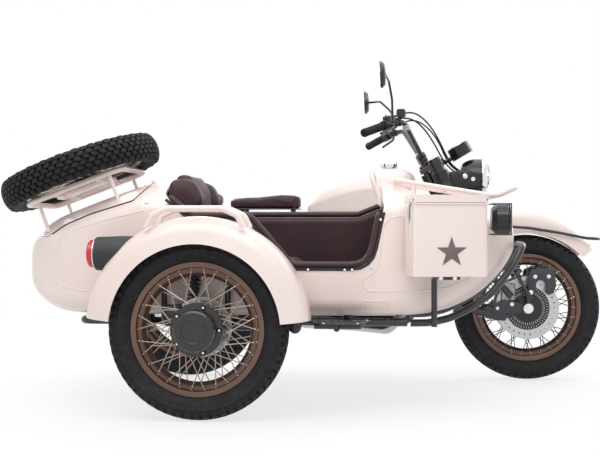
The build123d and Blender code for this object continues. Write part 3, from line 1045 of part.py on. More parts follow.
# --- Front fender and its rail
# -----------------------------------------------------------------------------
FRONT_FENDER_CENTRE = FRONT_AXLE + Vector(-46, 0, 18)
FRONT_FENDER_CROWN = 425.0
front_fender = fender_shell(296, 75, FRONT_FENDER_CROWN, 46, 4.5, 36, -107, FRONT_FENDER_CENTRE)
front_fender = front_fender - turned([(1, -200), (TYRE_RADIUS + RUNNING_GAP, -200),
                                      (TYRE_RADIUS + RUNNING_GAP, 200),
                                      (1, 200)], FRONT_AXLE)
add("front_fender", fused(front_fender))
rail_half = [(1551, -90, 686), (1688, -90, 664), (1805, -90, 640), (1868, -72, 637)]
rail_points = rail_half + [(x, -y, z) for x, y, z in reversed(rail_half)]
fender_rail = tube(rail_points, [150, 60, 40, 40, 60, 150], 6.5)
for x, z in ((1600, 678), (1740, 653)):
    for side in (1, -1):
        fender_rail = fender_rail + rod((x, side * 90, z), (x, side * (75 + FIT), z), 5)
fender_rail = fused(fender_rail, *[rod((1551, side * 90, 686), steer_point(LEG_AHEAD, side * 128, 398), 6.5)
                                   for side in (1, -1)])
add("fender_rail", fender_rail)


# --- Origin and export
# --------------------------------------------------------------------------------------
def finish():
    """Put the origin at the middle of the whole box's bottom and write one file a node."""
    os.makedirs("parts", exist_ok=True)
    whole = Compound([solid for solids in NODES.values() for solid in solids]).bounding_box()
    shift = Location((-whole.center().X, -whole.center().Y, -whole.min.Z))
    for name, solids in NODES.items():
        placed = [solid.moved(shift) for solid in solids]
        export_step(placed[0] if len(placed) == 1 else Compound(placed), f"parts/{name}.step")
    print("origin shift", shift.position)


finish()
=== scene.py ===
import json
import math

import bmesh
import bpy
from mathutils import Matrix, Vector


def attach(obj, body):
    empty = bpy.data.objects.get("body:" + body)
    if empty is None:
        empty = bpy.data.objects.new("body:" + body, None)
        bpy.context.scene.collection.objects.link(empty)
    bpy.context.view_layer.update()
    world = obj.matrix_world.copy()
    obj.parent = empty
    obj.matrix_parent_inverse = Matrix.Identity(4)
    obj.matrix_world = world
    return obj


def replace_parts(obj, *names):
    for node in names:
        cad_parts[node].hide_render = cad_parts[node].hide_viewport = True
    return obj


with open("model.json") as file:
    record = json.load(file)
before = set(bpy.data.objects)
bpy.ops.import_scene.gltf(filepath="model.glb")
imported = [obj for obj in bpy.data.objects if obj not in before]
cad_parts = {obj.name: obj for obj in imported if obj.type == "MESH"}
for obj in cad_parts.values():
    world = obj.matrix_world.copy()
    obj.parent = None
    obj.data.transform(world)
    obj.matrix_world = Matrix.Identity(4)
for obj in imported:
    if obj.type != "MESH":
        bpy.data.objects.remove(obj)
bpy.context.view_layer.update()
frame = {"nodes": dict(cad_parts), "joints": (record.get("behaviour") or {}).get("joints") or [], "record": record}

# Sidecar motorcycle. Places are given in millimetres from the rear axle's foot on the ground: X forward,
# Y to the rider's left, Z up. at() turns them into the frame's metres. The sidecar is at negative Y.
MM = 0.001
TYRE_RADIUS = 0.3275
FORWARD, BACKWARD = (1, 0, 0), (-1, 0, 0)
LEFT, RIGHT, UP = (0, 1, 0), (0, -1, 0), (0, 0, 1)
SIDES = (-1, 1)    # right, left
JOINT = {joint["name"]: Vector(joint["pos_m"]) for joint in frame["joints"]}
ORIGIN = JOINT["rear_wheel_spin"] - Vector((0, 0, TYRE_RADIUS))


def at(x, y, z):
    return ORIGIN + Vector((x, y, z)) * MM


def srgb(red, green, blue):
    """Linear colour, with alpha, from display values of 0 to 255."""
    linear = [c / 12.92 if c <= 0.04045 else ((c + 0.055) / 1.055) ** 2.4
              for c in (red / 255, green / 255, blue / 255)]
    return (*linear, 1.0)


# --- Camera, light and floor ---------------------------------------------------------------------------
CAMERA_PLACE = (950, -5009, 708)
CAMERA_YAW = 4.95
FOCAL_PIXELS = 1085
IMAGE_WIDTH, IMAGE_HEIGHT = 600, 456
HORIZON_ROW = 223
SENSOR = 36.0


def make_camera():
    data = bpy.data.cameras.new("camera")
    data.sensor_width = SENSOR
    data.lens = SENSOR * FOCAL_PIXELS / IMAGE_WIDTH
    data.shift_y = (HORIZON_ROW - IMAGE_HEIGHT / 2) / IMAGE_WIDTH
    camera = bpy.data.objects.new("camera", data)
    camera.location = at(*CAMERA_PLACE)
    camera.rotation_euler = (math.radians(90), 0, math.radians(CAMERA_YAW))
    bpy.context.scene.collection.objects.link(camera)
    bpy.context.scene.camera = camera


def area_light(name, place, target, size, power):
    data = bpy.data.lights.new(name, "AREA")
    data.shape = "RECTANGLE"
    data.size, data.size_y = size
    data.energy = power
    lamp = bpy.data.objects.new(name, data)
    lamp.location = at(*place)
    lamp.rotation_euler = (at(*target) - lamp.location).to_track_quat("-Z", "Y").to_euler()
    bpy.context.scene.collection.objects.link(lamp)


def add_node(tree, kind, inputs=(), **settings):
    """Shader node with its settings; each input is linked to a socket or set to a value."""
    made = tree.nodes.new("ShaderNode" + kind)
    for key, value in settings.items():
        setattr(made, key, value)
    for key, value in dict(inputs).items():
        if isinstance(value, bpy.types.NodeSocket):
            tree.links.new(value, made.inputs[key])
        else:
            made.inputs[key].default_value = value
    return made


def seen_directly(tree):
    """Socket that is 1 on camera, glossy and transmission rays."""
    path = add_node(tree, "LightPath")
    total = path.outputs["Is Camera Ray"]
    for kind in ("Is Glossy Ray", "Is Transmission Ray"):
        total = add_node(tree, "Math", {0: total, 1: path.outputs[kind]}, operation="MAXIMUM").outputs[0]
    return total


WHITE = (1, 1, 1, 1)
SKY = (0.95, 0.97, 1.0, 1.0)
AMBIENT = 0.55
BACKDROP_WHITE = 1.0
FLOOR_GREY = (0.86, 0.86, 0.86, 1)
FLOOR_GLOW = 0.74             # share of plain white in the floor, as seen, near the machine
GLOW_FROM, GLOW_TO = 1.5, 4.0     # distances in metres over which that share rises to 1
LIGHTS = [  # name, place, target, size, power
    ("key", (300, -2600, 3300), (500, -500, 500), (3.6, 2.4), 80),
    ("top", (500, 300, 3400), (500, -300, 600), (4.5, 3.0), 50),
    ("front_left", (3600, 1500, 2200), (700, 0, 600), (2.0, 2.4), 45),
    ("behind", (-1500, 2600, 2300), (400, 0, 600), (3.0, 2.0), 55),
]


def make_backdrop():
    """World that lights the scene softly and is seen as plain white."""
    world = bpy.data.worlds.new("studio")
    bpy.context.scene.world = world
    world.use_nodes = True
    tree = world.node_tree
    light = tree.nodes["Background"]
    light.inputs["Color"].default_value = SKY
    light.inputs["Strength"].default_value = AMBIENT
    white = add_node(tree, "Background", {"Color": WHITE, "Strength": BACKDROP_WHITE})
    shown = add_node(tree, "MixShader", {0: seen_directly(tree), 1: light.outputs[0], 2: white.outputs[0]})
    tree.links.new(shown.outputs[0], tree.nodes["World Output"].inputs[0])


def make_floor():
    """Matt floor that keeps the shadows and fades into the white backdrop."""
    bpy.ops.mesh.primitive_plane_add(size=60, location=(0, 0, -0.0005))
    floor = bpy.context.object
    floor.name = "floor"
    finish = bpy.data.materials.new("floor_white")
    finish.use_nodes = True
    tree = finish.node_tree
    matt = tree.nodes["Principled BSDF"]
    matt.inputs["Base Color"].default_value = FLOOR_GREY
    matt.inputs["Roughness"].default_value = 0.9
    glow = add_node(tree, "Emission", {"Color": WHITE, "Strength": BACKDROP_WHITE})
    place = add_node(tree, "NewGeometry").outputs["Position"]
    distance = add_node(tree, "VectorMath", {0: place}, operation="LENGTH").outputs["Value"]
    fade = add_node(tree, "MapRange", {"Value": distance, "From Min": GLOW_FROM, "From Max": GLOW_TO,
                                       "To Min": FLOOR_GLOW, "To Max": 1.0}).outputs["Result"]
    share = add_node(tree, "Math", {0: seen_directly(tree), 1: fade}, operation="MULTIPLY").outputs[0]
    shown = add_node(tree, "MixShader", {0: share, 1: matt.outputs[0], 2: glow.outputs[0]})
    tree.links.new(shown.outputs[0], tree.nodes["Material Output"].inputs[0])
    floor.data.materials.append(finish)


bpy.context.scene.view_settings.view_transform = "Standard"
make_camera()
make_backdrop()
make_floor()
for light in LIGHTS:
    area_light(*light)


# --- Materials -----------------------------------------------------------------------------------------
class Finish:
    """One procedural material on the Principled shader, in the piece's own coordinates, in metres."""

    def __init__(self, name, colour, roughness, metallic=0.0, **sockets):
        self.name, self.material = name, bpy.data.materials.new(name)
        self.material.use_nodes = True
        self.tree = self.material.node_tree
        self.shader = self.tree.nodes["Principled BSDF"]
        self.colour, self.roughness, self.normal = colour, roughness, None
        self.shader.inputs["Metallic"].default_value = metallic
        for socket, value in sockets.items():
            self.shader.inputs[socket.replace("_", " ")].default_value = value
        self.place = self.node("TexCoord").outputs["Object"]

    def node(self, kind, inputs=(), **settings):
        return add_node(self.tree, kind, inputs, **settings)

    def noise(self, scale, detail=3.0, roughness=0.5, stretch=(1, 1, 1)):
        place = self.place
        if stretch != (1, 1, 1):
            place = self.node("Mapping", {"Vector": place, "Scale": stretch}).outputs[0]
        return self.node("TexNoise", {"Vector": place, "Scale": scale, "Detail": detail,
                                      "Roughness": roughness}).outputs[0]

    def cells(self, scale):
        return self.node("TexVoronoi", {"Vector": self.place, "Scale": scale}).outputs["Distance"]

    def spread(self, value, low, high, to_low=0.0, to_high=1.0):
        return self.node("MapRange", {"Value": value, "From Min": low, "From Max": high,
                                      "To Min": to_low, "To Max": to_high}).outputs["Result"]

    def tint(self, factor, colour):
        """Mixes a second colour in, where factor is 1."""
        self.colour = self.node("Mix", {0: factor, 6: self.colour, 7: colour}, data_type="RGBA").outputs[2]

    def vary_roughness(self, factor, low, high):
        self.roughness = self.spread(factor, 0.3, 0.7, low, high)

    def bump(self, height, distance, strength=1.0):
        inputs = {"Height": height, "Distance": distance, "Strength": strength}
        if self.normal is not None:
            inputs["Normal"] = self.normal
        self.normal = self.node("Bump", inputs).outputs[0]

    def round_edges(self, radius):
        self.normal = self.node("Bevel", {"Radius": radius}, samples=4).outputs[0]

    def done(self):
        for socket, value in (("Base Color", self.colour), ("Roughness", self.roughness),
                              ("Normal", self.normal)):
            if isinstance(value, bpy.types.NodeSocket):
                self.tree.links.new(value, self.shader.inputs[socket])
            elif value is not None:
                self.shader.inputs[socket].default_value = value
        return self.material


CREAM = srgb(241, 226, 220)
CREAM_SHADE = srgb(233, 214, 207)
BLACK = srgb(20, 19, 22)


def paint(name, colour, shade, roughness=0.34, coat=0.35, edge=0.0, peel=0.00002, metallic=0.0):
    made = Finish(name, colour, roughness, metallic, Coat_Weight=coat, Coat_Roughness=0.12)
    if edge:
        made.round_edges(edge)
    made.tint(made.spread(made.noise(2.2, 2), 0.35, 0.7), shade)
    made.vary_roughness(made.noise(9, 4), roughness - 0.04, roughness + 0.06)
    made.bump(made.noise(420, 1), peel)
    return made


def cast(name, colour, shade, metallic, roughness):
    made = Finish(name, colour, roughness, metallic)
    made.round_edges(0.0012)
    made.tint(made.spread(made.noise(30, 5), 0.35, 0.7), shade)
    made.vary_roughness(made.noise(14, 5), roughness - 0.08, roughness + 0.1)
    made.bump(made.noise(900, 2), 0.00012)
    return made


def metal(name, colour, roughness, brush=(1, 1, 1), scratch=0.00002):
    made = Finish(name, colour, roughness, 1.0)
    fine = made.noise(260, 3, stretch=brush)
    made.tint(made.spread(fine, 0.35, 0.75, 0.0, 0.25), (0.2, 0.2, 0.2, 1))
    made.vary_roughness(made.noise(30, 4), roughness * 0.8, roughness * 1.35)
    made.bump(fine, scratch)
    return made


def leather(name, colour, shade):
    made = Finish(name, colour, 0.46, Sheen_Weight=0.04, Sheen_Roughness=0.5)
    made.shader.inputs["Specular IOR Level"].default_value = 0.42
    made.tint(made.spread(made.noise(6, 4), 0.35, 0.68), shade)
    grain = made.cells(520)
    creases = made.noise(70, 6, 0.6)
    made.tint(made.spread(grain, 0.0, 0.25, 0.35, 0.0), (0.01, 0.006, 0.006, 1))
    made.vary_roughness(creases, 0.39, 0.56)
    made.bump(made.spread(grain, 0.0, 0.6), 0.0003)
    made.bump(creases, 0.0006, 0.6)
    return made


def plastic(name, colour, roughness, grain=0.00006):
    made = Finish(name, colour, roughness)
    made.round_edges(0.0008)
    made.tint(made.spread(made.noise(12, 4), 0.35, 0.7, 0.0, 0.5), tuple(c * 1.5 for c in colour[:3]) + (1,))
    made.vary_roughness(made.noise(25, 3), roughness - 0.05, roughness + 0.08)
    made.bump(made.noise(1100, 2), grain)
    return made


def rubber(name, colour, dust):
    made = Finish(name, colour, 0.72)
    made.shader.inputs["Specular IOR Level"].default_value = 0.35
    made.tint(made.spread(made.noise(16, 6, 0.6), 0.42, 0.72, 0.0, 0.55), dust)
    made.vary_roughness(made.noise(50, 4), 0.6, 0.82)
    made.bump(made.noise(700, 3), 0.00012)
    return made


def clear(name, colour, roughness=0.03, transmission=1.0):
    made = Finish(name, colour, roughness, Transmission_Weight=transmission, IOR=1.45)
    made.tint(made.spread(made.noise(40, 3), 0.4, 0.7, 0.0, 0.12), WHITE)
    made.bump(made.noise(60, 1), 0.00004)
    return made


FINISHES = [
    paint("cream_paint", CREAM, CREAM_SHADE),
    paint("black_paint", BLACK, srgb(27, 26, 29), 0.26, 0.45, edge=0.0015, peel=0.00004),
    paint("satin_grey", srgb(60, 59, 67), srgb(50, 49, 57), 0.4, 0.1, edge=0.001),
    plastic("black_plastic", srgb(30, 30, 33), 0.48),
    plastic("lamp_black", srgb(22, 22, 25), 0.22, 0.00001),
    plastic("grained_black", srgb(40, 41, 43), 0.55, 0.0002),
    leather("brown_leather", srgb(64, 35, 40), srgb(44, 23, 28)),
    rubber("tyre_rubber", srgb(22, 21, 24), srgb(40, 39, 43)),
    rubber("rubber", srgb(18, 18, 20), srgb(32, 32, 35)),
    paint("bronze_rim", srgb(116, 88, 72), srgb(94, 72, 61), 0.3, 0.3, peel=0.00003, metallic=0.55),
    metal("steel", (0.58, 0.58, 0.59, 1), 0.3, (1, 8, 1)),
    metal("spoke_metal", (0.42, 0.34, 0.29, 1), 0.32),
    metal("chrome", (0.86, 0.86, 0.87, 1), 0.07, scratch=0.000004),
    cast("alloy", srgb(176, 176, 178), srgb(150, 150, 154), 0.85, 0.36),
    cast("engine_black", srgb(30, 30, 33), srgb(22, 22, 25), 0.3, 0.46),
    rubber("thread", srgb(128, 64, 58), srgb(150, 84, 74)),
    paint("star_paint", srgb(116, 94, 96), srgb(108, 88, 90), 0.45, 0.05),
    clear("red_lens", (0.72, 0.006, 0.01, 1), 0.08, 0.25),
    clear("clear_lens", (0.96, 0.97, 0.98, 1)),
    plastic("signal_red", srgb(226, 18, 22), 0.35),
    plastic("dial_white", srgb(226, 226, 222), 0.5),
]
MATERIALS = {finish.name: finish.done() for finish in FINISHES}
SLOT_OF = {row["node"]: row["material_slot"] for row in frame["record"]["subparts"]}
SMOOTH_ANGLE = 32


def dress_cad_nodes():
    """Gives every CAD node its material and smooth shading across its gentle edges."""
    for name, node in frame["nodes"].items():
        node.data.materials.clear()
        node.data.materials.append(MATERIALS[SLOT_OF[name]])
        node.data.shade_smooth()
        node.data.set_sharp_from_angle(angle=math.radians(SMOOTH_ANGLE))


dress_cad_nodes()


# --- Modelling tools -----------------------------------------------------------------------------------
def turned_to(axis, toward=None):
    """Matrix whose Z axis lies along axis; its X axis lies towards `toward` where that is given."""
    z = Vector(axis).normalized()
    x = Vector(toward or (FORWARD if abs(z.x) < 0.9 else LEFT))
    x = (x - z * x.dot(z)).normalized()
    return Matrix((x, z.cross(x), z)).transposed().to_4x4()


def turns(count, start=0.0):
    """Equal angles round a circle."""
    return [math.tau * (i + start) / count for i in range(count)]


def around(turn, radius, y=0.0):
    """Offset in metres of a place round an axle along Y, from millimetres."""
    return Vector((math.cos(turn) * radius, y, math.sin(turn) * radius)) * MM


UPRIGHT = Matrix(((1, 0, 0, 0), (0, 0, -1, 0), (0, 1, 0, 0), (0, 0, 0, 1)))


def standing(y):
    """Stands an outline of (x, z) upright at y, its thickness to the right."""
    return Matrix.Translation(at(0, y, 0)) @ UPRIGHT


class Shape:
    """Mesh under construction. Places are Vectors in metres, in the frame or round an own origin."""

    def __init__(self):
        self.mesh = bmesh.new()

    def take(self, part, matrix=None):
        """Moves another bmesh's faces in."""
        if matrix is not None:
            bmesh.ops.transform(part, matrix=matrix, verts=part.verts)
        spare = bpy.data.meshes.new("part")
        part.to_mesh(spare)
        part.free()
        self.mesh.from_mesh(spare)
        bpy.data.meshes.remove(spare)
        return self

    def skin(self, rings, closed=True, caps=()):
        """Faces between rings or rows of points, with a flat face on the rings that caps names."""
        part = bmesh.new()
        rows = [[part.verts.new(point) for point in ring] for ring in rings]
        for low, high in zip(rows, rows[1:]):
            for k in range(len(low) if closed else len(low) - 1):
                j = (k + 1) % len(low)
                part.faces.new((low[k], low[j], high[j], high[k]))
        for cap in caps:
            part.faces.new(rows[cap])
        return self.take(part)

    def lathe(self, profile, centre, axis, segments=48):
        """Turns (radius, distance along the axis) points, in millimetres, about an axis through centre."""
        part, rings = bmesh.new(), []
        for radius, along in profile:
            spots = [(radius * MM * math.cos(turn), radius * MM * math.sin(turn)) for turn in turns(segments)]
            rings.append([part.verts.new((x, y, along * MM)) for x, y in (spots if radius else [(0, 0)])])
        for low, high in zip(rings, rings[1:]):
            for i in range(segments):
                j = (i + 1) % segments
                corners = [low[i % len(low)], low[j % len(low)], high[j % len(high)], high[i % len(high)]]
                if len(set(corners)) > 2:
                    part.faces.new(list(dict.fromkeys(corners)))
        return self.take(part, Matrix.Translation(centre) @ turned_to(axis))

    def rod(self, start, end, radius, end_radius=None, segments=16):
        """Round bar, or cone, with flat ends. Its radius is in millimetres."""
        start, end = Vector(start), Vector(end)
        length = (end - start).length / MM
        last = radius if end_radius is None else end_radius
        chamfer = min(0.7, radius * 0.15)
        return self.lathe([(0, 0), (radius - chamfer, 0), (radius, chamfer), (last, length - chamfer),
                           (last - chamfer, length), (0, length)], start, end - start, segments)

    def ring(self, centre, axis, radius, wire, segments=48, round_segments=10):
        """Closed ring of round wire."""
        profile = [(radius + wire * math.cos(a), wire * math.sin(a))
                   for a in (math.tau * i / round_segments for i in range(round_segments + 1))]
        return self.lathe(profile, centre, axis, segments)

    def box(self, centre, size, matrix=None, bevel=1.0, steps=2):
        """Box of a size in millimetres along its own axes, its edges rounded."""
        part = bmesh.new()
        bmesh.ops.create_cube(part, size=1.0)
        bmesh.ops.scale(part, vec=Vector(size) * MM, verts=part.verts)
        if bevel:
            bmesh.ops.bevel(part, geom=part.edges[:], offset=bevel * MM, segments=steps, affect="EDGES",
                            profile=0.5)
        return self.take(part, Matrix.Translation(centre) @ (matrix or Matrix.Identity(4)))

    def plate(self, outline, thickness, matrix, bevel=0.6):
        """Flat plate with an outline of (x, y) points in millimetres, raised along the matrix's Z axis."""
        part = bmesh.new()
        face = part.faces.new([part.verts.new((x * MM, y * MM, 0)) for x, y in outline])
        raised = bmesh.ops.extrude_face_region(part, geom=[face])
        top = [v for v in raised["geom"] if isinstance(v, bmesh.types.BMVert)]
        bmesh.ops.translate(part, vec=(0, 0, thickness * MM), verts=top)
        bmesh.ops.recalc_face_normals(part, faces=part.faces)
        if bevel:
            rim = [e for e in part.edges if all(v in top for v in e.verts)]
            bmesh.ops.bevel(part, geom=rim, offset=bevel * MM, segments=2, affect="EDGES", profile=0.5)
        return self.take(part, matrix)

    def bolt(self, centre, axis, radius=5.0, height=4.0):
        """Hexagon head on a washer."""
        self.lathe([(0, 0), (radius * 1.45, 0), (radius * 1.45, 1.0), (0, 1.0)], centre, axis, 20)
        return self.lathe([(0, 0.8), (radius, 0.8), (radius, height - 0.7), (radius * 0.86, height),
                           (0, height)], centre, axis, 6)

    def dome(self, centre, axis, radius=4.0, height=2.0, segments=14):
        """Round head of a rivet, snap or screw."""
        profile = [(radius * math.cos(a), height * math.sin(a)) for a in (math.pi / 8 * i for i in range(4))]
        return self.lathe([(0, -0.5), (radius, -0.5)] + profile + [(0, height)], centre, axis, segments)

    def data(self, name):
        """The finished mesh, with its faces turned outward."""
        bmesh.ops.recalc_face_normals(self.mesh, faces=self.mesh.faces)
        data = bpy.data.meshes.new(name)
        self.mesh.to_mesh(data)
        self.mesh.free()
        return data

    def piece(self, name, material, body="chassis", smooth=SMOOTH_ANGLE):
        """Finished object that rides on a body."""
        bmesh.ops.remove_doubles(self.mesh, verts=self.mesh.verts, dist=1e-7)
        return place_mesh(name, self.data(name), material, body, smooth)


def place_mesh(name, data, material, body, smooth=SMOOTH_ANGLE, origin=None, turn=None):
    """Object of a mesh that rides on a body; the same mesh may be placed more than once."""
    if not data.materials:
        data.materials.append(MATERIALS[material])
        data.shade_smooth()
        data.set_sharp_from_angle(angle=math.radians(smooth))
    made = bpy.data.objects.new(name, data)
    bpy.context.scene.collection.objects.link(made)
    if origin is not None:
        made.matrix_world = Matrix.Translation(origin) @ (turn or Matrix.Identity(4))
    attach(made, body)
    return made


POLY_REACH = 0.01    # radius factor of a straight-run spline's points, which its bounds take as metres


def wire(name, points, radius, material, body="chassis", kind="NURBS"):
    """Round cord or wire along control points in metres; its radius is in millimetres."""
    data = bpy.data.curves.new(name, "CURVE")
    data.dimensions = "3D"
    reach = POLY_REACH if kind == "POLY" else 1.0
    data.bevel_depth = radius * MM / reach
    data.bevel_resolution = 4
    data.resolution_u = 8
    data.use_fill_caps = True
    spline = data.splines.new(kind)
    spline.points.add(len(points) - 1)
    for point, place in zip(spline.points, points):
        point.co = (*place, 1.0)
        point.radius = reach
    if kind == "NURBS":
        spline.order_u = 3
        spline.use_endpoint_u = True
    data.materials.append(MATERIALS[material])
    made = bpy.data.objects.new(name, data)
    bpy.context.scene.collection.objects.link(made)
    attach(made, body)
    return made


# --- Control cables, held at both ends -----------------------------------------------------------------
CABLE_RADIUS = 3.5
CABLES = {
    "throttle_cable": [(966, -212, 1182), (1012, -196, 1200), (1062, -184, 1186), (1112, -146, 1140),
                       (1152, -108, 1078), (1182, -80, 1016), (1214, -56, 964), (1249, -34, 945)],
    "clutch_cable": [(962, 236, 1172), (1008, 224, 1200), (1064, 190, 1196), (1118, 142, 1150),
                     (1160, 98, 1084), (1186, 74, 1016), (1216, 52, 964), (1249, 32, 945)],
    "switch_cable": [(955, -222, 1166), (1000, -196, 1174), (1048, -158, 1162), (1094, -112, 1120),
                     (1134, -70, 1062), (1168, -42, 1000), (1206, -30, 952), (1249, -14, 926)],
}


def spline_length(points):
    """Length of a quadratic spline clamped at its ends, whose control points these are."""
    curve = bpy.data.curves.new("measure", "CURVE")
    curve.dimensions = "3D"
    spline = curve.splines.new("NURBS")
    spline.points.add(len(points) - 1)
    for point, place in zip(spline.points, points):
        point.co = (*place, 1.0)
    spline.order_u = 3
    spline.use_endpoint_u = True
    return spline.calc_length(resolution=64)


def make_cables():
    for name, route in CABLES.items():
        points = [at(*point) for point in route]
        cable = wire(name, points, CABLE_RADIUS, "rubber", "steering")
        spline_length(points)
        if name == "throttle_cable":
            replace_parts(cable, "control_cables")


make_cables()

# --- Tyres ---------------------------------------------------------------------------------------------
AXLES = {
    "rear": (JOINT["rear_wheel_spin"], "rear_wheel"),
    "front": (JOINT["front_wheel_spin"], "front_wheel"),
    "sidecar": (JOINT["sidecar_wheel_spin"], "sidecar_wheel"),
}
SPARE_CENTRE = at(-313, -700, 911)
SPARE_TILT = 20.5
SPARE_TURN = Matrix.Rotation(math.radians(-SPARE_TILT), 4, "Y") @ Matrix.Rotation(math.radians(90), 4, "X")
TREAD_RADIUS = 327.5
GROOVE_RADIUS = 317.0
TREAD_HALF = 52.0
TREAD_PITCHES = 60
CROWN_DROP, CROWN_POWER = 15.0, 2.4
RIM_RADIUS = 242.0


def tread_radius(y, radius=TREAD_RADIUS):
    """Height of the tread's crown at a distance from the tyre's middle."""
    return radius - CROWN_DROP * (abs(y) / TREAD_HALF) ** CROWN_POWER


def tread_block(shape, y_low, y_high, angle, width, skew, depth):
    """One rubber block: a tapered box on the crown, between two distances from the middle."""
    part = bmesh.new()
    rows = []
    for share, grow in ((0.0, 1.25), (1.0, 1.0)):
        row = []
        for y, side in ((y_low, -1), (y_high, 1)):
            spread_y = y + side * (1 - share) * 1.6
            radius = tread_radius(y) - depth * (1 - share)
            for way in (-1, 1):
                turn = angle + way * width * grow / 2 + skew * (y - (y_low + y_high) / 2)
                row.append(part.verts.new(around(turn, radius, spread_y)))
        rows.append(row)
    low, high = rows
    part.faces.new((high[0], high[1], high[3], high[2]))
    for a, b in ((0, 1), (1, 3), (3, 2), (2, 0)):
        part.faces.new((low[a], low[b], high[b], high[a]))
    bmesh.ops.recalc_face_normals(part, faces=part.faces)
    rim = [e for e in part.edges if all(v in high for v in e.verts)]
    bmesh.ops.bevel(part, geom=rim, offset=0.0011, segments=2, affect="EDGES", profile=0.5)
    return shape.take(part)


def tyre_mesh():
    """Knobby tyre round the origin, its axle along Y."""
    shape = Shape()
    side = [  # radius, distance from the middle
        (RIM_RADIUS - 11, 31), (RIM_RADIUS + 1, 32), (RIM_RADIUS + 4, 36), (RIM_RADIUS + 7, 39),
        (RIM_RADIUS + 9, 39.5), (RIM_RADIUS + 12, 42.5), (258, 46.5), (266, 50), (275, 52.6), (284, 53.6),
        (285, 54.4), (289, 54.4), (290, 53.6), (298, 52.4), (304, 50.5), (308, 46)]
    crown = [(tread_radius(y, GROOVE_RADIUS), y) for y in (40, 30, 20, 10, 0)]
    half = side + crown
    profile = half + [(r, -y) for r, y in reversed(half[:-1])]
    shape.lathe(profile, (0, 0, 0), LEFT, 120)
    pitch = math.tau / TREAD_PITCHES
    for index in range(TREAD_PITCHES):
        turn = pitch * index
        long_block = index % 2 == 0
        blocks = [  # from, to, share of a pitch ahead, width in pitches, skew, depth
            (1.6, 16.5, 0, 0.62, 0.0011, 11), (19.5, 34.5, 0.5, 0.6, -0.001, 11),
            (37.5, TREAD_HALF, 0, 0.72 if long_block else 0.56, 0, 17)]
        for side_sign in (1, -1):
            shifted = turn + (pitch / 2 if side_sign > 0 else 0)
            for near, far, ahead, width, skew, depth in blocks:
                low, high = sorted((side_sign * near, side_sign * far))
                tread_block(shape, low, high, shifted + pitch * ahead, pitch * width, side_sign * skew, depth)
            if long_block:
                shape.box(around(shifted, 303, side_sign * 50), (18, 8, 17),
                          Matrix.Rotation(-shifted, 4, "Y"), 1.4)
    return shape.data("knobby_tyre")


def make_tyres():
    rubber_mesh = tyre_mesh()
    for name, (axle, body) in AXLES.items():
        tyre = place_mesh(f"{name}_knobby_tyre", rubber_mesh, "tyre_rubber", body, 40, axle)
        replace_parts(tyre, f"{name}_tyre")
    spare = place_mesh("spare_knobby_tyre", rubber_mesh, "tyre_rubber", "boot_lid", 40, SPARE_CENTRE,
                       SPARE_TURN)
    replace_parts(spare, "spare_tyre")


make_tyres()

# --- Wire wheels ---------------------------------------------------------------------------------------
RUNGS = 30
LADDER_RADIUS = 212.0
LADDER_Y = 25.0
WELL_RADIUS = 190.0
HUB_FLANGE_RADIUS = 84.0
HUB_FLANGE_Y = 28.0
SPOKE_RADIUS = 1.9
SPOKE_LEAN = 34.0


def rim_mesh():
    """Rim with a flat lip, a raised ring of spoke seats on each side and a deep well."""
    shape = Shape()
    half = [  # radius, distance from the middle
        (241, 33), (242, 34.5), (241.4, 36), (238, 36.4), (226, 35.6), (223, 34), (221, 30), (220, 22),
        (203, 22), (201, 17), (196, 12), (192, 8), (WELL_RADIUS, 3)]
    shape.lathe(half + [(r, -y) for r, y in reversed(half)], (0, 0, 0), LEFT, 144)
    inner = [(240, 33), (229, 30), (214, 14), (206, 10), (206, -10), (214, -14), (229, -30), (240, -33)]
    shape.lathe(inner, (0, 0, 0), LEFT, 96)
    for side in (1, -1):
        for radius in (LADDER_RADIUS + 5, LADDER_RADIUS - 5):
            profile = [(radius + 1.3 * x, side * (LADDER_Y - 3.5) + 3.5 * y) for x, y in
                       ((-1, -1), (-1, 0.7), (-0.5, 1), (0.5, 1), (1, 0.7), (1, -1))]
            shape.lathe(profile, (0, 0, 0), LEFT, 144)
        for turn in turns(RUNGS, 0.5 if side > 0 else 0):
            shape.box(around(turn, LADDER_RADIUS, side * (LADDER_Y - 3)), (9, 6.4, 5),
                      Matrix.Rotation(-turn, 4, "Y"), 0.8)
    return shape


def spoke_ends():
    """Rim end and hub end of every spoke, in metres round the axle."""
    for side in (1, -1):
        for rung, turn in enumerate(turns(RUNGS, 0.5 if side > 0 else 0)):
            way = 1 if rung % 2 else -1
            yield (around(turn, LADDER_RADIUS + 1, side * (LADDER_Y - 4)),
                   around(turn - math.radians(SPOKE_LEAN) * way, HUB_FLANGE_RADIUS - 4,
                          side * (HUB_FLANGE_Y + 3.0 * way)))


def spokes_mesh():
    shape = Shape()
    for rim_end, hub_end in spoke_ends():
        shape.rod(hub_end, rim_end, SPOKE_RADIUS, segments=8)
    return shape


def nipples_mesh():
    shape = Shape()
    for rim_end, hub_end in spoke_ends():
        run = (hub_end - rim_end).normalized() * MM
        shape.rod(rim_end - run * 7, rim_end + run * 10, 3.4, 2.6, segments=8)
    return shape


def hub_mesh():
    shape = Shape()
    half = [(14, 44), (38, 44), (40, 42), (42, 34), (HUB_FLANGE_RADIUS - 8, 32), (HUB_FLANGE_RADIUS, 31),
            (HUB_FLANGE_RADIUS, 25), (HUB_FLANGE_RADIUS - 8, 24), (44, 22), (38, 12), (36, 0)]
    shape.lathe(half + [(r, -y) for r, y in reversed(half)], (0, 0, 0), LEFT, 72)
    return shape


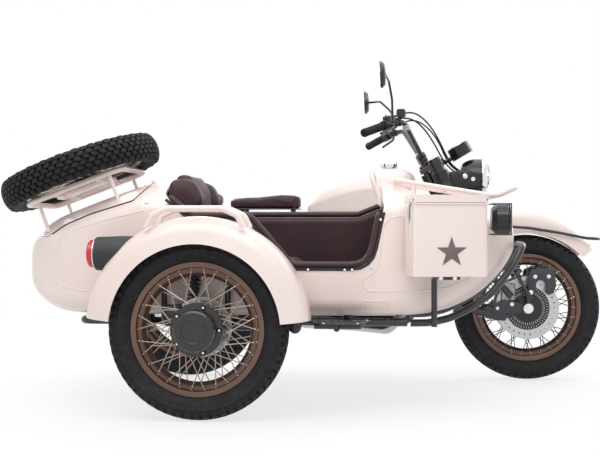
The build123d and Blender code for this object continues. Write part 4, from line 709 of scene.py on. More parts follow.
def make_wheels():
    rim, hub, nipples = rim_mesh().data("rim"), hub_mesh().data("hub"), nipples_mesh().data("nipples")
    bright, dark = spokes_mesh().data("spokes"), spokes_mesh().data("dark_spokes")
    places = [(name, axle, None, body) for name, (axle, body) in AXLES.items()]
    places.append(("spare", SPARE_CENTRE, SPARE_TURN, "boot_lid"))
    for name, axle, turn, body in places:
        front = name == "front"
        made = place_mesh(f"{name}_rim", rim, "bronze_rim", body, 30, axle, turn)
        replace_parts(made, f"{name}_wheel")
        place_mesh(f"{name}_hub", hub, "engine_black", body, 30, axle, turn)
        place_mesh(f"{name}_spokes", dark if front else bright, "black_paint" if front else "spoke_metal",
                   body, 30, axle, turn)
        place_mesh(f"{name}_nipples", nipples, "steel", body, 30, axle, turn)


make_wheels()

# --- Paths, seams and stitches -------------------------------------------------------------------------
BODY_Y = -700.0
NEAR_WALL, FAR_WALL = BODY_Y - 291, BODY_Y + 291


def rounded_line(corners, step=9.0):
    """Points, each with its direction, along an open line of (x, z, corner radius)."""
    corners = [(Vector((x, z)), radius) for x, z, radius in corners]
    anchors = [corners[0][0]]
    for (a, _), (b, radius), (c, _) in zip(corners, corners[1:], corners[2:]):
        into, out = (b - a).normalized(), (c - b).normalized()
        turn = into.angle(out)
        reach = min(radius * math.tan(turn / 2), (b - a).length * 0.49, (c - b).length * 0.49)
        start, end = b - into * reach, b + out * reach
        for share in (0, 0.25, 0.5, 0.75, 1) if reach > 1 else (0,):
            anchors.append(start * (1 - share) ** 2 + b * 2 * share * (1 - share) + end * share ** 2)
    anchors.append(corners[-1][0])
    line = []
    for a, b in zip(anchors, anchors[1:]):
        count = max(1, round((b - a).length / step))
        line += [a.lerp(b, i / count) for i in range(count)]
    line.append(anchors[-1])
    last = len(line) - 1
    return [(p, (line[min(i + 1, last)] - line[max(i - 1, 0)]).normalized()) for i, p in enumerate(line)]


def rounded_outline(corners, step=7.0):
    """Points round a closed outline of (x, z, corner radius)."""
    (x0, z0, _), (x1, z1, _) = corners[-1], corners[0]
    middle = ((x0 + x1) / 2, (z0 + z1) / 2, 0)
    return [(p.x, p.y) for p, _ in rounded_line([middle, *corners, middle], step)[:-1]]


def offset_line(line, distance):
    """The line moved to its left, seen with X to the right and Z up."""
    return [(p + Vector((-t.y, t.x)) * distance, t) for p, t in line]


def side_points(line, y):
    return [at(p.x, y, p.y) for p, _ in line]


STITCH_LENGTH, STITCH_RADIUS = 5.5, 0.9


def stitches(shape, points, gap=3.4):
    """Row of short threads along points in metres."""
    period = (STITCH_LENGTH + gap) * MM
    walked, due = 0.0, 0.0
    for a, b in zip(points, points[1:]):
        run = (b - a).length
        while run > 0 and due < walked + run:
            spot = a.lerp(b, (due - walked) / run)
            along = (b - a).normalized() * STITCH_LENGTH * MM / 2
            shape.rod(spot - along, spot + along, STITCH_RADIUS, segments=6)
            due += period
        walked += run


def drawn_to(made, points):
    """The points moved onto an object's surface, 0.3 mm proud of it."""
    snapped = []
    for point in points:
        hit, place, normal, _ = made.closest_point_on_mesh(point)
        snapped.append(place + normal * 0.3 * MM if hit else point)
    return snapped


def surface_under(node, start, toward):
    """Where a ray from a place in millimetres meets a CAD node, with the surface's direction there."""
    direction = Vector(toward).normalized()
    hit, place, normal, _ = frame["nodes"][node].ray_cast(at(*start), direction)
    return (place, normal if normal.dot(direction) < 0 else -normal) if hit else None


def bead(name, node, line, start_y, toward, radius, sink):
    """Raised line pressed into a CAD panel: points of (x, z) thrown at it sideways from start_y."""
    found = [surface_under(node, (x, start_y, z), toward) for x, z in line]
    wire(name, [place - normal * sink * MM for place, normal in filter(None, found)], radius, "cream_paint")


# --- Soft goods ----------------------------------------------------------------------------------------
CLOTH_FRAMES = 14


def prism_data(name, outline, low, high):
    """Closed prism of an outline of (x, z) points between two values of Y."""
    part = bmesh.new()
    rows = [[part.verts.new(at(x, y, z)) for x, z in outline] for y in (low, high)]
    part.faces.new(rows[0])
    part.faces.new(reversed(rows[1]))
    for i in range(len(outline)):
        j = (i + 1) % len(outline)
        part.faces.new((rows[0][i], rows[1][i], rows[1][j], rows[0][j]))
    bmesh.ops.recalc_face_normals(part, faces=part.faces)
    data = bpy.data.meshes.new(name)
    part.to_mesh(data)
    part.free()
    return data


def shrunk(data, margin):
    """Copy of a mesh, smaller by a margin in millimetres on each side of its box."""
    copy = data.copy()
    low = Vector(min(v.co[i] for v in copy.vertices) for i in range(3))
    high = Vector(max(v.co[i] for v in copy.vertices) for i in range(3))
    middle, size = (low + high) / 2, high - low
    scale = [1 - 2 * margin * MM / size[i] for i in range(3)]
    for vertex in copy.vertices:
        vertex.co = [middle[i] + (vertex.co[i] - middle[i]) * scale[i] for i in range(3)]
    return copy


def applied(made):
    """Replaces an object's mesh by what its modifiers make of it."""
    depsgraph = bpy.context.evaluated_depsgraph_get()
    data = bpy.data.meshes.new_from_object(made.evaluated_get(depsgraph))
    made.modifiers.clear()
    made.data = data
    return data


PRESSURE = 4.0
SOFTENING = 6


def cushion(name, data, cap, voxel):
    """Leather pad: a closed form blown up as cloth, each point moved by at most `cap` millimetres."""
    made = bpy.data.objects.new(name, data)
    bpy.context.scene.collection.objects.link(made)
    remesh = made.modifiers.new("remesh", "REMESH")
    remesh.mode = "VOXEL"
    remesh.voxel_size = voxel * MM
    smooth = made.modifiers.new("smooth", "SMOOTH")
    smooth.factor, smooth.iterations = 0.5, SOFTENING
    applied(made)
    start = [v.co.copy() for v in made.data.vertices]
    cloth = made.modifiers.new("cloth", "CLOTH")
    cloth.settings.use_pressure = True
    cloth.settings.uniform_pressure_force = PRESSURE
    cloth.settings.effector_weights.gravity = 0
    cloth.settings.quality = 5
    cloth.settings.tension_stiffness = cloth.settings.compression_stiffness = 15
    cloth.point_cache.frame_end = CLOTH_FRAMES
    for step in range(1, CLOTH_FRAMES + 1):
        bpy.context.scene.frame_set(step)
    applied(made)
    bpy.context.scene.frame_set(1)
    for vertex, before in zip(made.data.vertices, start):
        moved = vertex.co - before
        if moved.length > cap * MM:
            vertex.co = before + moved.normalized() * cap * MM
    finer = made.modifiers.new("finer", "SUBSURF")
    finer.levels = finer.render_levels = 1
    applied(made)
    made.data.materials.clear()
    made.data.materials.append(MATERIALS["brown_leather"])
    made.data.shade_smooth()
    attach(made, "chassis")
    return made


SEAT_OUTLINE = [(134, 474, 20), (596, 493, 28), (596, 553, 36), (420, 565, 90), (164, 551, 20)]
BOLSTER_OUTLINE = [(102, 574, 12), (170, 568, 24), (194, 700, 90), (229, 800, 44), (192, 865, 38),
                   (150, 881, 40), (94, 866, 24)]
BACK_OUTLINE = [(102, 574, 12), (166, 568, 24), (194, 700, 90), (188, 850, 40), (150, 901, 30),
                (105, 902, 24)]
BOLSTER_SEAM = [(170, 580, 0), (195, 700, 90), (231, 800, 44), (193, 868, 38), (150, 885, 40), (100, 871, 0)]
BOLSTER_MIDDLE, BOLSTER_HALF = 194, 40


def make_sidecar_seat():
    made = {}
    for name, outline, middle, half, cap, voxel in (
            ("seat_cushion_pad", SEAT_OUTLINE, 0, 210, 12, 8),
            ("seat_bolster_near", BOLSTER_OUTLINE, -BOLSTER_MIDDLE, BOLSTER_HALF, 8, 6.5),
            ("seat_bolster_far", BOLSTER_OUTLINE, BOLSTER_MIDDLE, BOLSTER_HALF, 8, 6.5),
            ("seat_back_pad", BACK_OUTLINE, 0, 148, 9, 7)):
        low, high = BODY_Y + middle - half, BODY_Y + middle + half
        made[name] = cushion(name, prism_data(name, rounded_outline(outline), low, high), cap, voxel)
    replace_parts(made["seat_cushion_pad"], "seat_cushion")
    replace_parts(made["seat_bolster_near"], "seat_backrest")
    seams, line = Shape(), rounded_line(BOLSTER_SEAM)
    for bolster, middle in (("near", BODY_Y - BOLSTER_MIDDLE), ("far", BODY_Y + BOLSTER_MIDDLE)):
        for y in (middle - 30, middle + 30):
            stitches(seams, drawn_to(made["seat_bolster_" + bolster], side_points(line, y)))
    seams.piece("seat_back_stitches", "thread")


SADDLES = [  # node, margin, cap, voxel, seam's (x, half width), its height
    ("rider_saddle", 5, 6, 6, [(212, 107), (262, 108), (330, 99), (400, 79), (470, 56), (512, 36)], 832),
    ("pillion_saddle", 8, 9, 7, [(-138, 88), (138, 88)], 842),
]
SADDLE_PAN = [(196, -124), (330, -112), (522, -44), (522, 44), (330, 112), (196, 124)]


def make_saddles():
    threads = Shape()
    for node, margin, cap, voxel, seam, height in SADDLES:
        made = cushion(node + "_leather", shrunk(frame["nodes"][node].data, margin), cap, voxel)
        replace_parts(made, node)
        line = rounded_line([(x, y, 60) for x, y in seam])
        for side in SIDES:
            stitches(threads, drawn_to(made, [at(p.x, side * p.y, height) for p, _ in line]))
    threads.piece("saddle_stitches", "thread")
    pan = Shape().plate(SADDLE_PAN, 5, Matrix.Translation(at(0, 0, 770)), 1)
    pan.bolt(at(494, -47, 783), (0.2, -1, 0), 5, 5).piece("saddle_pan", "black_paint")


SILL_NEAR = [(100, 800, 0), (188, 727, 30), (411, 723, 40), (565, 541, 60), (866, 541, 95), (909, 748, 0)]
SILL_FAR = [(100, 803, 0), (188, 732, 30), (800, 732, 60), (909, 775, 0)]
ROLL_RADIUS = 13.0


ROLL_SIDES = 20


def padded_roll(name, line, y):
    """Rolled leather edge along a line: a tube that puckers a little between its stitches."""
    rings = []
    for index, (p, t) in enumerate(offset_line(line, ROLL_RADIUS - 1.5)):
        end = min(index, len(line) - 1 - index) / 3
        ripple = 1 + 0.022 * math.sin(index * 1.9) + 0.015 * math.sin(index * 0.63 + y)
        size = (ROLL_RADIUS - 0.6) * ripple * min(1, 0.45 + end)
        ring = []
        for turn in turns(ROLL_SIDES):
            up, out = max(math.sin(turn), -0.86) * size, math.cos(turn) * size
            ring.append(at(p.x - t.y * up, y + out, p.y + t.x * up))
        rings.append(ring)
    roll = Shape().skin(rings, caps=(0, -1)).piece(name, "brown_leather", smooth=60)
    return roll


SNAPS = [(632, 534), (768, 534), (796, 534), (869, 545), (901, 720), (240, 717), (205, 718)]


def make_cockpit_trim():
    near, far = rounded_line(SILL_NEAR), rounded_line(SILL_FAR)
    roll = padded_roll("cockpit_roll_near", near, NEAR_WALL)
    padded_roll("cockpit_roll_far", far, FAR_WALL)
    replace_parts(roll, "cockpit_trim")
    strips, snaps, threads = Shape(), Shape(), Shape()
    for line, side in ((near, -1), (far, 1)):
        low = offset_line(line, -5)
        for (a, _), (b, _) in zip(low, low[1:]):
            middle, turn = (a + b) / 2, -math.atan2(b.y - a.y, b.x - a.x)
            strips.box(at(middle.x, BODY_Y + side * 298.2, middle.y), ((b - a).length + 1.5, 2.6, 11),
                       Matrix.Rotation(turn, 4, "Y"), 0.6, 1)
        stitches(threads, side_points(offset_line(line, -26), BODY_Y + side * 278.4), 3.6)
    for x, z in SNAPS:
        snaps.dome(at(x, BODY_Y - 299.4, z), RIGHT, 5.5, 3)
    strips.piece("cockpit_edge_strip", "black_plastic")
    snaps.piece("cockpit_snaps", "chrome")
    threads.piece("cockpit_lining_stitches", "thread")


INSIDE = [  # x, half width, floor, corner radius, shoulder
    (10, 283.5, 376, 46, 770), (430, 283.5, 376, 46, 770), (870, 283.5, 376, 46, 770),
    (1000, 272.5, 378, 48, 752), (1120, 242.5, 392, 54, 733), (1240, 198.5, 438, 54, 711),
    (1318, 150, 500, 46, 695)]


def inside_at(x):
    for (x0, *a), (x1, *b) in zip(INSIDE, INSIDE[1:]):
        if x <= x1:
            share = (x - x0) / (x1 - x0)
            return [p + (q - p) * share for p, q in zip(a, b)]
    return list(INSIDE[-1][1:])


def line_height(line, x):
    """Height of an edge line above x, or None past its ends."""
    for (a, _), (b, _) in zip(line, line[1:]):
        if a.x <= x <= b.x and b.x > a.x:
            return a.y + (b.y - a.y) * (x - a.x) / (b.x - a.x)
    return None


def thin_sheet(shape, name, material, offset):
    """The shape's open faces as a sheet 3 mm thick, grown to one side where offset is 1."""
    made = shape.piece(name, material, smooth=50)
    solid = made.modifiers.new("thickness", "SOLIDIFY")
    solid.thickness, solid.offset = 3 * MM, offset
    return made


LINING_STEPS = range(10, 1319, 12)


def make_cockpit_lining():
    """Leather on both walls and a dark mat on the floor, a few millimetres inside the shell."""
    edges = rounded_line(SILL_NEAR, 4), rounded_line(SILL_FAR, 4)
    walls, floor_rows = ([], []), []
    for x in LINING_STEPS:
        half, floor, corner, shoulder = inside_at(x)
        for side, line, rows in zip(SIDES, edges, walls):
            top = min(line_height(line, x) or shoulder, shoulder) - 1.5
            wall = [(half, top + (floor + corner - top) * k / 14) for k in range(15)]
            arc = [(half - corner * (1 - math.cos(a)), floor + corner * (1 - math.sin(a)))
                   for a in (math.pi / 12 * k for k in range(1, 7))]
            rows.append([at(x, BODY_Y + side * y, z) for y, z in wall + arc])
        flat = half - corner
        floor_rows.append([at(x, BODY_Y + flat * (k - 4) / 4, floor + 0.5) for k in range(9)])
    lining = Shape()
    for rows in walls:
        lining.skin(rows, closed=False)
    thin_sheet(lining, "cockpit_lining", "brown_leather", 0)
    thin_sheet(Shape().skin(floor_rows, closed=False), "cockpit_mat", "grained_black", 1)


make_sidecar_seat()
make_saddles()
make_cockpit_trim()
make_cockpit_lining()

# --- Pressed lines and small fittings of the sidecar body ----------------------------------------------
NOSE_PANEL = [(976, 734), (935, 726), (914, 703), (903, 656), (901, 594), (893, 552), (875, 526), (836, 500),
              (836, 479), (852, 458), (893, 456), (1069, 459), (1151, 468), (1223, 496), (1290, 590)]
TAIL_PANEL = [(13, 754), (-130, 722), (-279, 678), (-314, 659), (-339, 615), (-346, 551), (-339, 493),
              (-319, 468), (-279, 459), (-180, 447)]
STEP_PANEL = [(831, 385), (831, 414), (840, 420), (923, 420), (932, 411), (932, 385), (923, 378), (840, 378)]


PANELS = [  # name, outline, radius, depth in the shell, closed
    ("nose_panel", NOSE_PANEL, 3.2, 1.12, False),
    ("tail_panel", TAIL_PANEL, 3.0, 1.05, False),
    ("foot_panel", STEP_PANEL, 2.4, 0.72, True),
]
OUTSIDE = 500    # distance from the body's middle from which its panels are found
LOCK_PROFILE = [(0, -1), (13, -1), (13.5, 1.5), (12, 4), (7, 4.6), (6.6, 3.4), (0, 3.4)]


def make_body_details():
    for name, outline, radius, sink, closed in PANELS:
        corners = [(x, z, 14) for x, z in outline] + ([(*outline[0], 0)] if closed else [])
        line = [tuple(p) for p, _ in rounded_line(corners, 10)]
        for side, y, toward in (("near", BODY_Y - OUTSIDE, LEFT), ("far", BODY_Y + OUTSIDE, RIGHT)):
            bead(f"{name}_{side}", "sidecar_body", line, y, toward, radius, sink)
    place, normal = surface_under("sidecar_body", (21, BODY_Y - OUTSIDE, 791), LEFT)
    Shape().lathe(LOCK_PROFILE, place, normal, 32).piece("boot_lock", "chrome")
    place, normal = surface_under("sidecar_body", (-182, BODY_Y - OUTSIDE, 410), LEFT)
    mark = Shape().box(place + normal * 1.5 * MM, (11, 34, 5), turned_to(normal, FORWARD), 1.5)
    mark.piece("side_reflector", "red_lens")


make_body_details()

# --- Lamps ---------------------------------------------------------------------------------------------
def ribbed_lens(name, material, centre, axis, radius, depth, ribs):
    """Domed lens with rings moulded in it."""
    profile, steps = [(radius, 0), (radius, depth * 0.55)], ribs * 2 + 1
    for index in range(steps):
        share = 1 - index / steps
        crown = depth * (0.62 + 0.38 * math.sqrt(max(0, 1 - share ** 2)))
        profile.append((radius * share, crown + (1.1 if index % 2 else 0)))
    Shape().lathe(profile + [(0, depth)], centre, axis, 56).piece(name, material)


TAIL_X, TAIL_Y, TAIL_Z = -124, -1150, 597
TAIL_RADIUS, TAIL_FLARE = 60.6, 3.4
TAIL_REACHES = (6, 30, 60, 90, 120, 145)
TAIL_FRONT = [(0, 3), (50, 3), (52, -1), (57, -1.5), (60.5, 2), (TAIL_RADIUS, 8), (0, 8)]
TAIL_RIM = [(50.5, 0), (55.5, 0), (55.5, 4), (53.5, 6), (50.5, 6)]


def make_sidecar_tail_lamp():
    """Round lamp whose housing widens until it meets the fender."""
    centre = at(TAIL_X, TAIL_Y, TAIL_Z)
    rings = []
    for reach in TAIL_REACHES:
        radius = TAIL_RADIUS + TAIL_FLARE * min(1, reach / 90)
        ring = []
        for turn in turns(64):
            y, z = TAIL_Y + radius * math.cos(turn), TAIL_Z + radius * math.sin(turn)
            met = surface_under("sidecar_fender", (TAIL_X - 16, y, z), FORWARD)
            limit = (met[0].x - centre.x) / MM + 1 if met else reach
            ring.append(at(TAIL_X + min(reach, limit), y, z))
        rings.append(ring)
    housing = Shape().lathe(TAIL_FRONT, centre, FORWARD, 64).skin(rings, caps=(-1,))
    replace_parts(housing.piece("sidecar_tail_lamp_housing", "grained_black"), "sidecar_tail_lamp")
    Shape().lathe(TAIL_RIM, centre, BACKWARD, 64).piece("sidecar_tail_lamp_rim", "chrome")
    ribbed_lens("sidecar_tail_lens", "red_lens", centre, BACKWARD, 50, 33, 6)


REAR_LAMP_Z = 640
REAR_BOWL = [(0, -14), (20, -12), (34, 2), (37.4, 10), (37.4, 14), (0, 14)]
REAR_RIM = [(34.2, -1), (37, -1), (37, 7), (35.8, 9), (34.2, 9)]


def make_rear_lamp():
    """The motorcycle's own lamp, on a bent stay under the fender."""
    stay = wire("rear_lamp_stay", [at(-168, 0, 756), at(-300, 0, 742), at(-388, 0, 650)], 9, "black_paint")
    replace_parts(stay, "tail_lamp")
    Shape().lathe(REAR_BOWL, at(-386, 0, REAR_LAMP_Z), BACKWARD).piece("rear_lamp_bowl", "lamp_black")
    Shape().lathe(REAR_RIM, at(-391, 0, REAR_LAMP_Z), BACKWARD, 56).piece("rear_tail_rim", "chrome")
    ribbed_lens("rear_tail_lens", "red_lens", at(-399, 0, REAR_LAMP_Z), BACKWARD, 34.6, 40, 4)


SIDE_LAMP = (1366, -962, 722)
GUARD_X, GUARD_ROOT = 1374, 1304
GUARD_HALF_WIDTH, GUARD_HALF_HEIGHT = 62, 56


def make_side_lamp():
    """Clear lens in the side lamp's mouth, behind a wire guard."""
    _, y, z = SIDE_LAMP
    ribbed_lens("side_lamp_lens", "clear_lens", at(*SIDE_LAMP), FORWARD, 53, 11, 5)
    guard = Shape()
    corners = [(y + side * GUARD_HALF_WIDTH, z + up * GUARD_HALF_HEIGHT)
               for side, up in ((-1, -1), (1, -1), (1, 1), (-1, 1))]
    for a, b in zip(corners, corners[1:] + corners[:1]):
        guard.rod(at(GUARD_X, *a), at(GUARD_X, *b), 2.6, segments=10)
        guard.rod(at(GUARD_X, *a), at(GUARD_ROOT, *a), 2.6, segments=10)
        guard.dome(at(GUARD_X, *a), FORWARD, 3.4, 3)
    for wide, tall in ((GUARD_HALF_WIDTH, 0), (0, GUARD_HALF_HEIGHT)):
        guard.rod(at(GUARD_X, y - wide, z - tall), at(GUARD_X, y + wide, z + tall), 2.2, segments=10)
    guard.piece("side_lamp_guard", "black_paint")


LAMP_START = (1250, 0, 917)    # back of the bucket, on the lamp's axis
LAMP_EAR = [(1160, 928), (1172, 878), (1236, 866), (1300, 866), (1326, 878), (1334, 904), (1324, 930),
            (1290, 943), (1236, 945)]
EAR_THICKNESS = 8
LEG_CLAMP = (1175, 897), (1154.6, 936.4)    # X and Z of the foot and head of the ring round each fork leg
LAMP_BUCKET = [(0, 0), (50, 4), (64, 14), (74, 30), (80, 46), (82.3, 62), (82.3, 96), (80, 99), (78, 99),
               (78, 64), (60, 26), (0, 14)]
LAMP_BEZEL = [(72, 100), (79, 95), (82.3, 97), (82.4, 104), (80, 112), (76.5, 119), (72, 121), (71, 118),
              (74, 110), (72, 100)]
LAMP_BOWL = [(0, 40), (18, 42), (40, 56), (60, 78), (72, 104), (73.5, 104), (61, 76), (41, 54), (18, 39.5),
             (0, 37.5)]
LAMP_BULB = [(0, 46), (9, 46), (9, 72), (6, 78), (0, 79)]
GLASS_RADIUS, GLASS_DEPTH, GLASS_AT, GLASS_WALL = 71, 26, 112, 2.5


def make_headlight():
    start = at(*LAMP_START)
    bucket, bolts = Shape().lathe(LAMP_BUCKET, start, FORWARD, 72), Shape()
    for side in SIDES:
        outward = (0, side, 0)
        bucket.lathe([(0, 0), (13, 0), (13, 22), (0, 22)], at(1300, side * 80, LAMP_START[2]), outward, 24)
        bucket.plate(LAMP_EAR, EAR_THICKNESS, standing(101 * side + EAR_THICKNESS / 2), 1.6)
        foot, head = (at(x, side * 100, z) for x, z in LEG_CLAMP)
        bucket.lathe([(30.6, 0), (37, 0), (37, 44), (30.6, 44), (30.6, 0)], foot, head - foot, 40)
        bolts.dome(at(1267, side * 105, LAMP_START[2]), outward, 13, 7, 28)
        bolts.bolt(at(1303, side * 105, 905), outward, 6.5, 6)
    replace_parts(bucket.piece("headlight_bucket", "lamp_black", "steering"), "headlight")
    bolts.piece("headlight_bolts", "chrome", "steering")
    Shape().lathe(LAMP_BEZEL, start, FORWARD, 80).piece("headlight_bezel", "chrome", "steering")
    bowl = Shape().lathe(LAMP_BOWL, start, FORWARD, 64).lathe(LAMP_BULB, start, FORWARD, 24)
    bowl.piece("headlight_reflector", "chrome", "steering")
    outer = [(GLASS_RADIUS * math.cos(a), GLASS_AT + GLASS_DEPTH * math.sin(a))
             for a in (math.pi / 20 * i for i in range(10))]
    inner = [(radius * 0.96, along - GLASS_WALL) for radius, along in reversed(outer[1:])]
    crown = GLASS_AT + GLASS_DEPTH
    glass = Shape().lathe(outer + [(0, crown), (0, crown - GLASS_WALL)] + inner, start, FORWARD, 64)
    glass.piece("headlight_glass", "clear_lens", "steering")


DIAL_TILT = 31.0
DIAL_SWEEP = 270.0
DIAL_FACE = (1237, 0, 1061)
DIAL_BEZEL = [(46, -4), (51, -4), (51, 1), (50, 3), (47.5, 3.4), (46, 1), (46, -4)]
DIAL_DISC = [(0, 0.4), (46, 0.4), (46, 0.9), (0, 0.9)]
DIAL_STEPS, DIAL_NUMBERS, NUMBER_STEP = 24, 6, 20
NUMBER_SIZE, NUMBER_THICKNESS = 0.0085, 0.0002
NUMBER_RADIUS = 31
NEEDLE_TAIL, NEEDLE_TIP = -7, 34
PRINT_LIFT, NEEDLE_LIFT = 1.2, 2.2    # above the dial's seat


def make_instrument():
    tilt = math.radians(DIAL_TILT)
    normal = Vector((-math.sin(tilt), 0, math.cos(tilt)))
    face, right = at(*DIAL_FACE), Vector(RIGHT)
    up = normal.cross(right)

    def reading(share, radius, lift=PRINT_LIFT):
        """Direction of a share of the dial's sweep, and the place at a radius on the dial."""
        turn = math.radians(DIAL_SWEEP * (share - 0.5))
        direction = right * math.sin(turn) + up * math.cos(turn)
        return direction, face + direction * radius * MM + normal * lift * MM

    Shape().lathe(DIAL_BEZEL, face, normal, 64).piece("dial_bezel", "chrome", "steering")
    Shape().lathe(DIAL_DISC, face, normal, 64).piece("dial_face", "lamp_black", "steering")
    marks = Shape()
    for index in range(DIAL_STEPS + 1):
        radius, length = (42, 3.6) if index % 2 else (41, 6)
        direction, centre = reading(index / DIAL_STEPS, radius)
        marks.box(centre, (0.9, length, 0.5), turned_to(normal, direction.cross(right)), 0)
    marks.piece("dial_marks", "dial_white", "steering")
    tail, tip = (reading(0, radius, NEEDLE_LIFT)[1] for radius in (NEEDLE_TAIL, NEEDLE_TIP))
    needle = Shape().rod(tail, tip, 1.1, 0.5, 8)
    needle.dome(face + normal * PRINT_LIFT * MM, normal, 5, 3).piece("dial_needle", "signal_red", "steering")
    for index in range(DIAL_NUMBERS + 1):
        text = bpy.data.curves.new(f"dial_number_{index}", "FONT")
        text.body = str(NUMBER_STEP * index)
        text.size = NUMBER_SIZE
        text.align_x = text.align_y = "CENTER"
        text.extrude = NUMBER_THICKNESS
        text.materials.append(MATERIALS["dial_white"])
        made = bpy.data.objects.new(text.name, text)
        bpy.context.scene.collection.objects.link(made)
        spot = reading(index / DIAL_NUMBERS, NUMBER_RADIUS)[1]
        made.matrix_world = Matrix.Translation(spot) @ Matrix((right, up, normal)).transposed().to_4x4()
        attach(made, "steering")


make_sidecar_tail_lamp()
make_rear_lamp()
make_side_lamp()
make_headlight()
make_instrument()

# --- Side box ------------------------------------------------------------------------------------------
BOX_YAW = 10.0
BOX_LENGTH, BOX_DEPTH, BOX_LOW, BOX_TOP = 275.0, 178.0, 518.0, 808.0
BOX_FRAME = Matrix.Translation(at(1015, -1170, 0)) @ Matrix.Rotation(math.radians(BOX_YAW), 4, "Z")
BOX_TURN = BOX_FRAME.to_3x3().to_4x4()
STAR_MIDDLE, STAR_RADII = (141, 604), (56, 22)
LID_BEAD = [(3, 786), (14, 776), (261, 776), (272, 786)]
LATCH_IN, LATCH_Z = 60, 750    # the latch's place on the box's end
INSET = 14.0


def in_box(along, inward, up):
    return BOX_FRAME @ (Vector((along, inward, up)) * MM)


def make_box_details():
    points = [(STAR_RADII[i % 2] * math.sin(turn), STAR_RADII[i % 2] * math.cos(turn))
              for i, turn in enumerate(turns(10))]
    star = Shape().plate([(STAR_MIDDLE[0] + x, STAR_MIDDLE[1] + z) for x, z in points], 1.0,
                         BOX_FRAME @ UPRIGHT @ Matrix.Translation((0, 0, -2.4 * MM)), 0.2)
    star.piece("box_star", "star_paint")
    edge, ribs, lever, corners, bolts = Shape(), Shape(), Shape(), Shape(), Shape()
    for (x0, z0), (x1, z1) in zip(LID_BEAD, LID_BEAD[1:]):
        edge.rod(in_box(x0, 0.6, z0), in_box(x1, 0.6, z1), 2.2, segments=10)
    edge.piece("box_lid_bead", "cream_paint", "box_lid")
    for inward in (40, 68, 96, 124):
        ribs.rod(in_box(2.4, inward, 545), in_box(2.4, inward, 765), 2.4, segments=10)
    ribs.piece("box_end_ribs", "cream_paint")
    plate = Shape().box(in_box(0.8, LATCH_IN, LATCH_Z), (4, 40, 60), BOX_TURN, 1.2)
    plate.piece("box_latch_plate", "alloy")
    lever.box(in_box(-4, LATCH_IN, LATCH_Z + 2), (5, 20, 48), BOX_TURN, 2)
    for half, up, radius in ((12, 22, 3.4), (8, -26, 3.0)):
        start, end = (in_box(-6, inward, LATCH_Z + up) for inward in (LATCH_IN - half, LATCH_IN + half))
        lever.rod(start, end, radius)
    lever.piece("box_latch_lever", "chrome")
    hook = Shape().box(in_box(-0.5, LATCH_IN, LATCH_Z + 42), (4, 24, 14), BOX_TURN, 1.2)
    hook.piece("box_latch_hook", "chrome", "box_lid")
    for along in (INSET, BOX_LENGTH - INSET):
        for inward in (INSET, BOX_DEPTH - INSET):
            corners.box(in_box(along, inward, BOX_TOP), (20, 20, 1.6), BOX_TURN, 0.5)
    corners.piece("box_lid_corners", "chrome", "box_lid")
    for along in (105, 155):
        bolts.bolt(in_box(along, INSET, BOX_LOW - 6), RIGHT, 5, 4)
    bolts.piece("box_bracket_bolts", "chrome")


make_box_details()

# --- Hubs and discs ------------------------------------------------------------------------------------
HUB_CAP = [(0, -34), (94, -34), (96, -36), (96, -44), (94, -46), (74, -48), (74, -100), (72, -106),
           (66, -110.5), (58, -112), (47, -112), (46, -114.4), (43, -115), (41, -114), (40, -111), (0, -111)]
HUB_BOSS = [(0, 44), (9, 44), (9, 56), (7.5, 58), (0, 58)]
HUB_BOSSES, HUB_BOSS_RADIUS = 5, 84
DISC_RING = [(74, 67.5), (110, 67.5), (110, 72.5), (74, 72.5), (74, 67.5)]
DISC_BELL = [(20, 36), (42, 36), (52, 68), (76, 68), (76, 72), (20, 72), (20, 36)]
FRONT_PLATE = [(28, 76), (95, 76), (97, 77.5), (97, 79), (62, 80.5), (58, 84), (28, 84), (28, 76)]
SLOT_ROWS = [(66, 78, 80.2, 0), (82, 93, 79.2, 0.5)]    # inner and outer radius, distance out, shift
SLOT_COUNT = 48


def make_sidecar_hub():
    axle, body = AXLES["sidecar"]
    cap, bolts = Shape().lathe(HUB_CAP, axle, LEFT, 96), Shape()
    for turn in turns(HUB_BOSSES):
        cap.lathe(HUB_BOSS, axle + around(turn, HUB_BOSS_RADIUS), RIGHT, 28)
        bolts.bolt(axle + around(turn, HUB_BOSS_RADIUS, -57), RIGHT, 5, 5)
    cap.piece("sidecar_hub_cap", "black_paint", body)
    bolts.piece("sidecar_lug_bolts", "chrome", body)
    disc = Shape().lathe(DISC_RING, axle, LEFT, 96).lathe(DISC_BELL, axle, LEFT, 60)
    disc.piece("sidecar_brake_disc", "steel", body)


def make_front_hub_plates():
    """Dark slotted plate over the middle of each front disc."""
    axle, body = AXLES["front"]
    plates, slots = Shape(), Shape()
    for side in SIDES:
        plates.lathe(FRONT_PLATE, axle, (0, side, 0), 96)
        for inner, outer, out, shift in SLOT_ROWS:
            for turn in turns(SLOT_COUNT, shift):
                slots.box(axle + around(turn, (inner + outer) / 2, side * out), (outer - inner, 0.8, 2.0),
                          Matrix.Rotation(-turn, 4, "Y"), 0, 1)
    plates.piece("front_hub_plates", "lamp_black", body)
    slots.piece("front_hub_slots", "steel", body)


make_sidecar_hub()
make_front_hub_plates()

# --- Shocks and drive chain ----------------------------------------------------------------------------
RAKE = math.radians(27.5)
STEER_FOOT = (1415, 328)    # X and Z where the steering axis is level with the axle
COIL_RADIUS, COIL_WIRE, COIL_PITCH, COIL_STEPS = 22, 3.8, 0.0155, 16
SPRING_SEAT = [(0, -4), (27, -4), (27, 1), (24, 4), (0, 4)]
SHOCK_EYE = [(8, -11), (14.6, -11), (14.6, 11), (8, 11), (8, -11)]


def steer_point(ahead, y, up):
    """A place by its distance ahead of the steering axis, its Y and its distance up the axis."""
    return at(STEER_FOOT[0] + ahead * math.cos(RAKE) - up * math.sin(RAKE), y,
              STEER_FOOT[1] + ahead * math.sin(RAKE) + up * math.cos(RAKE))


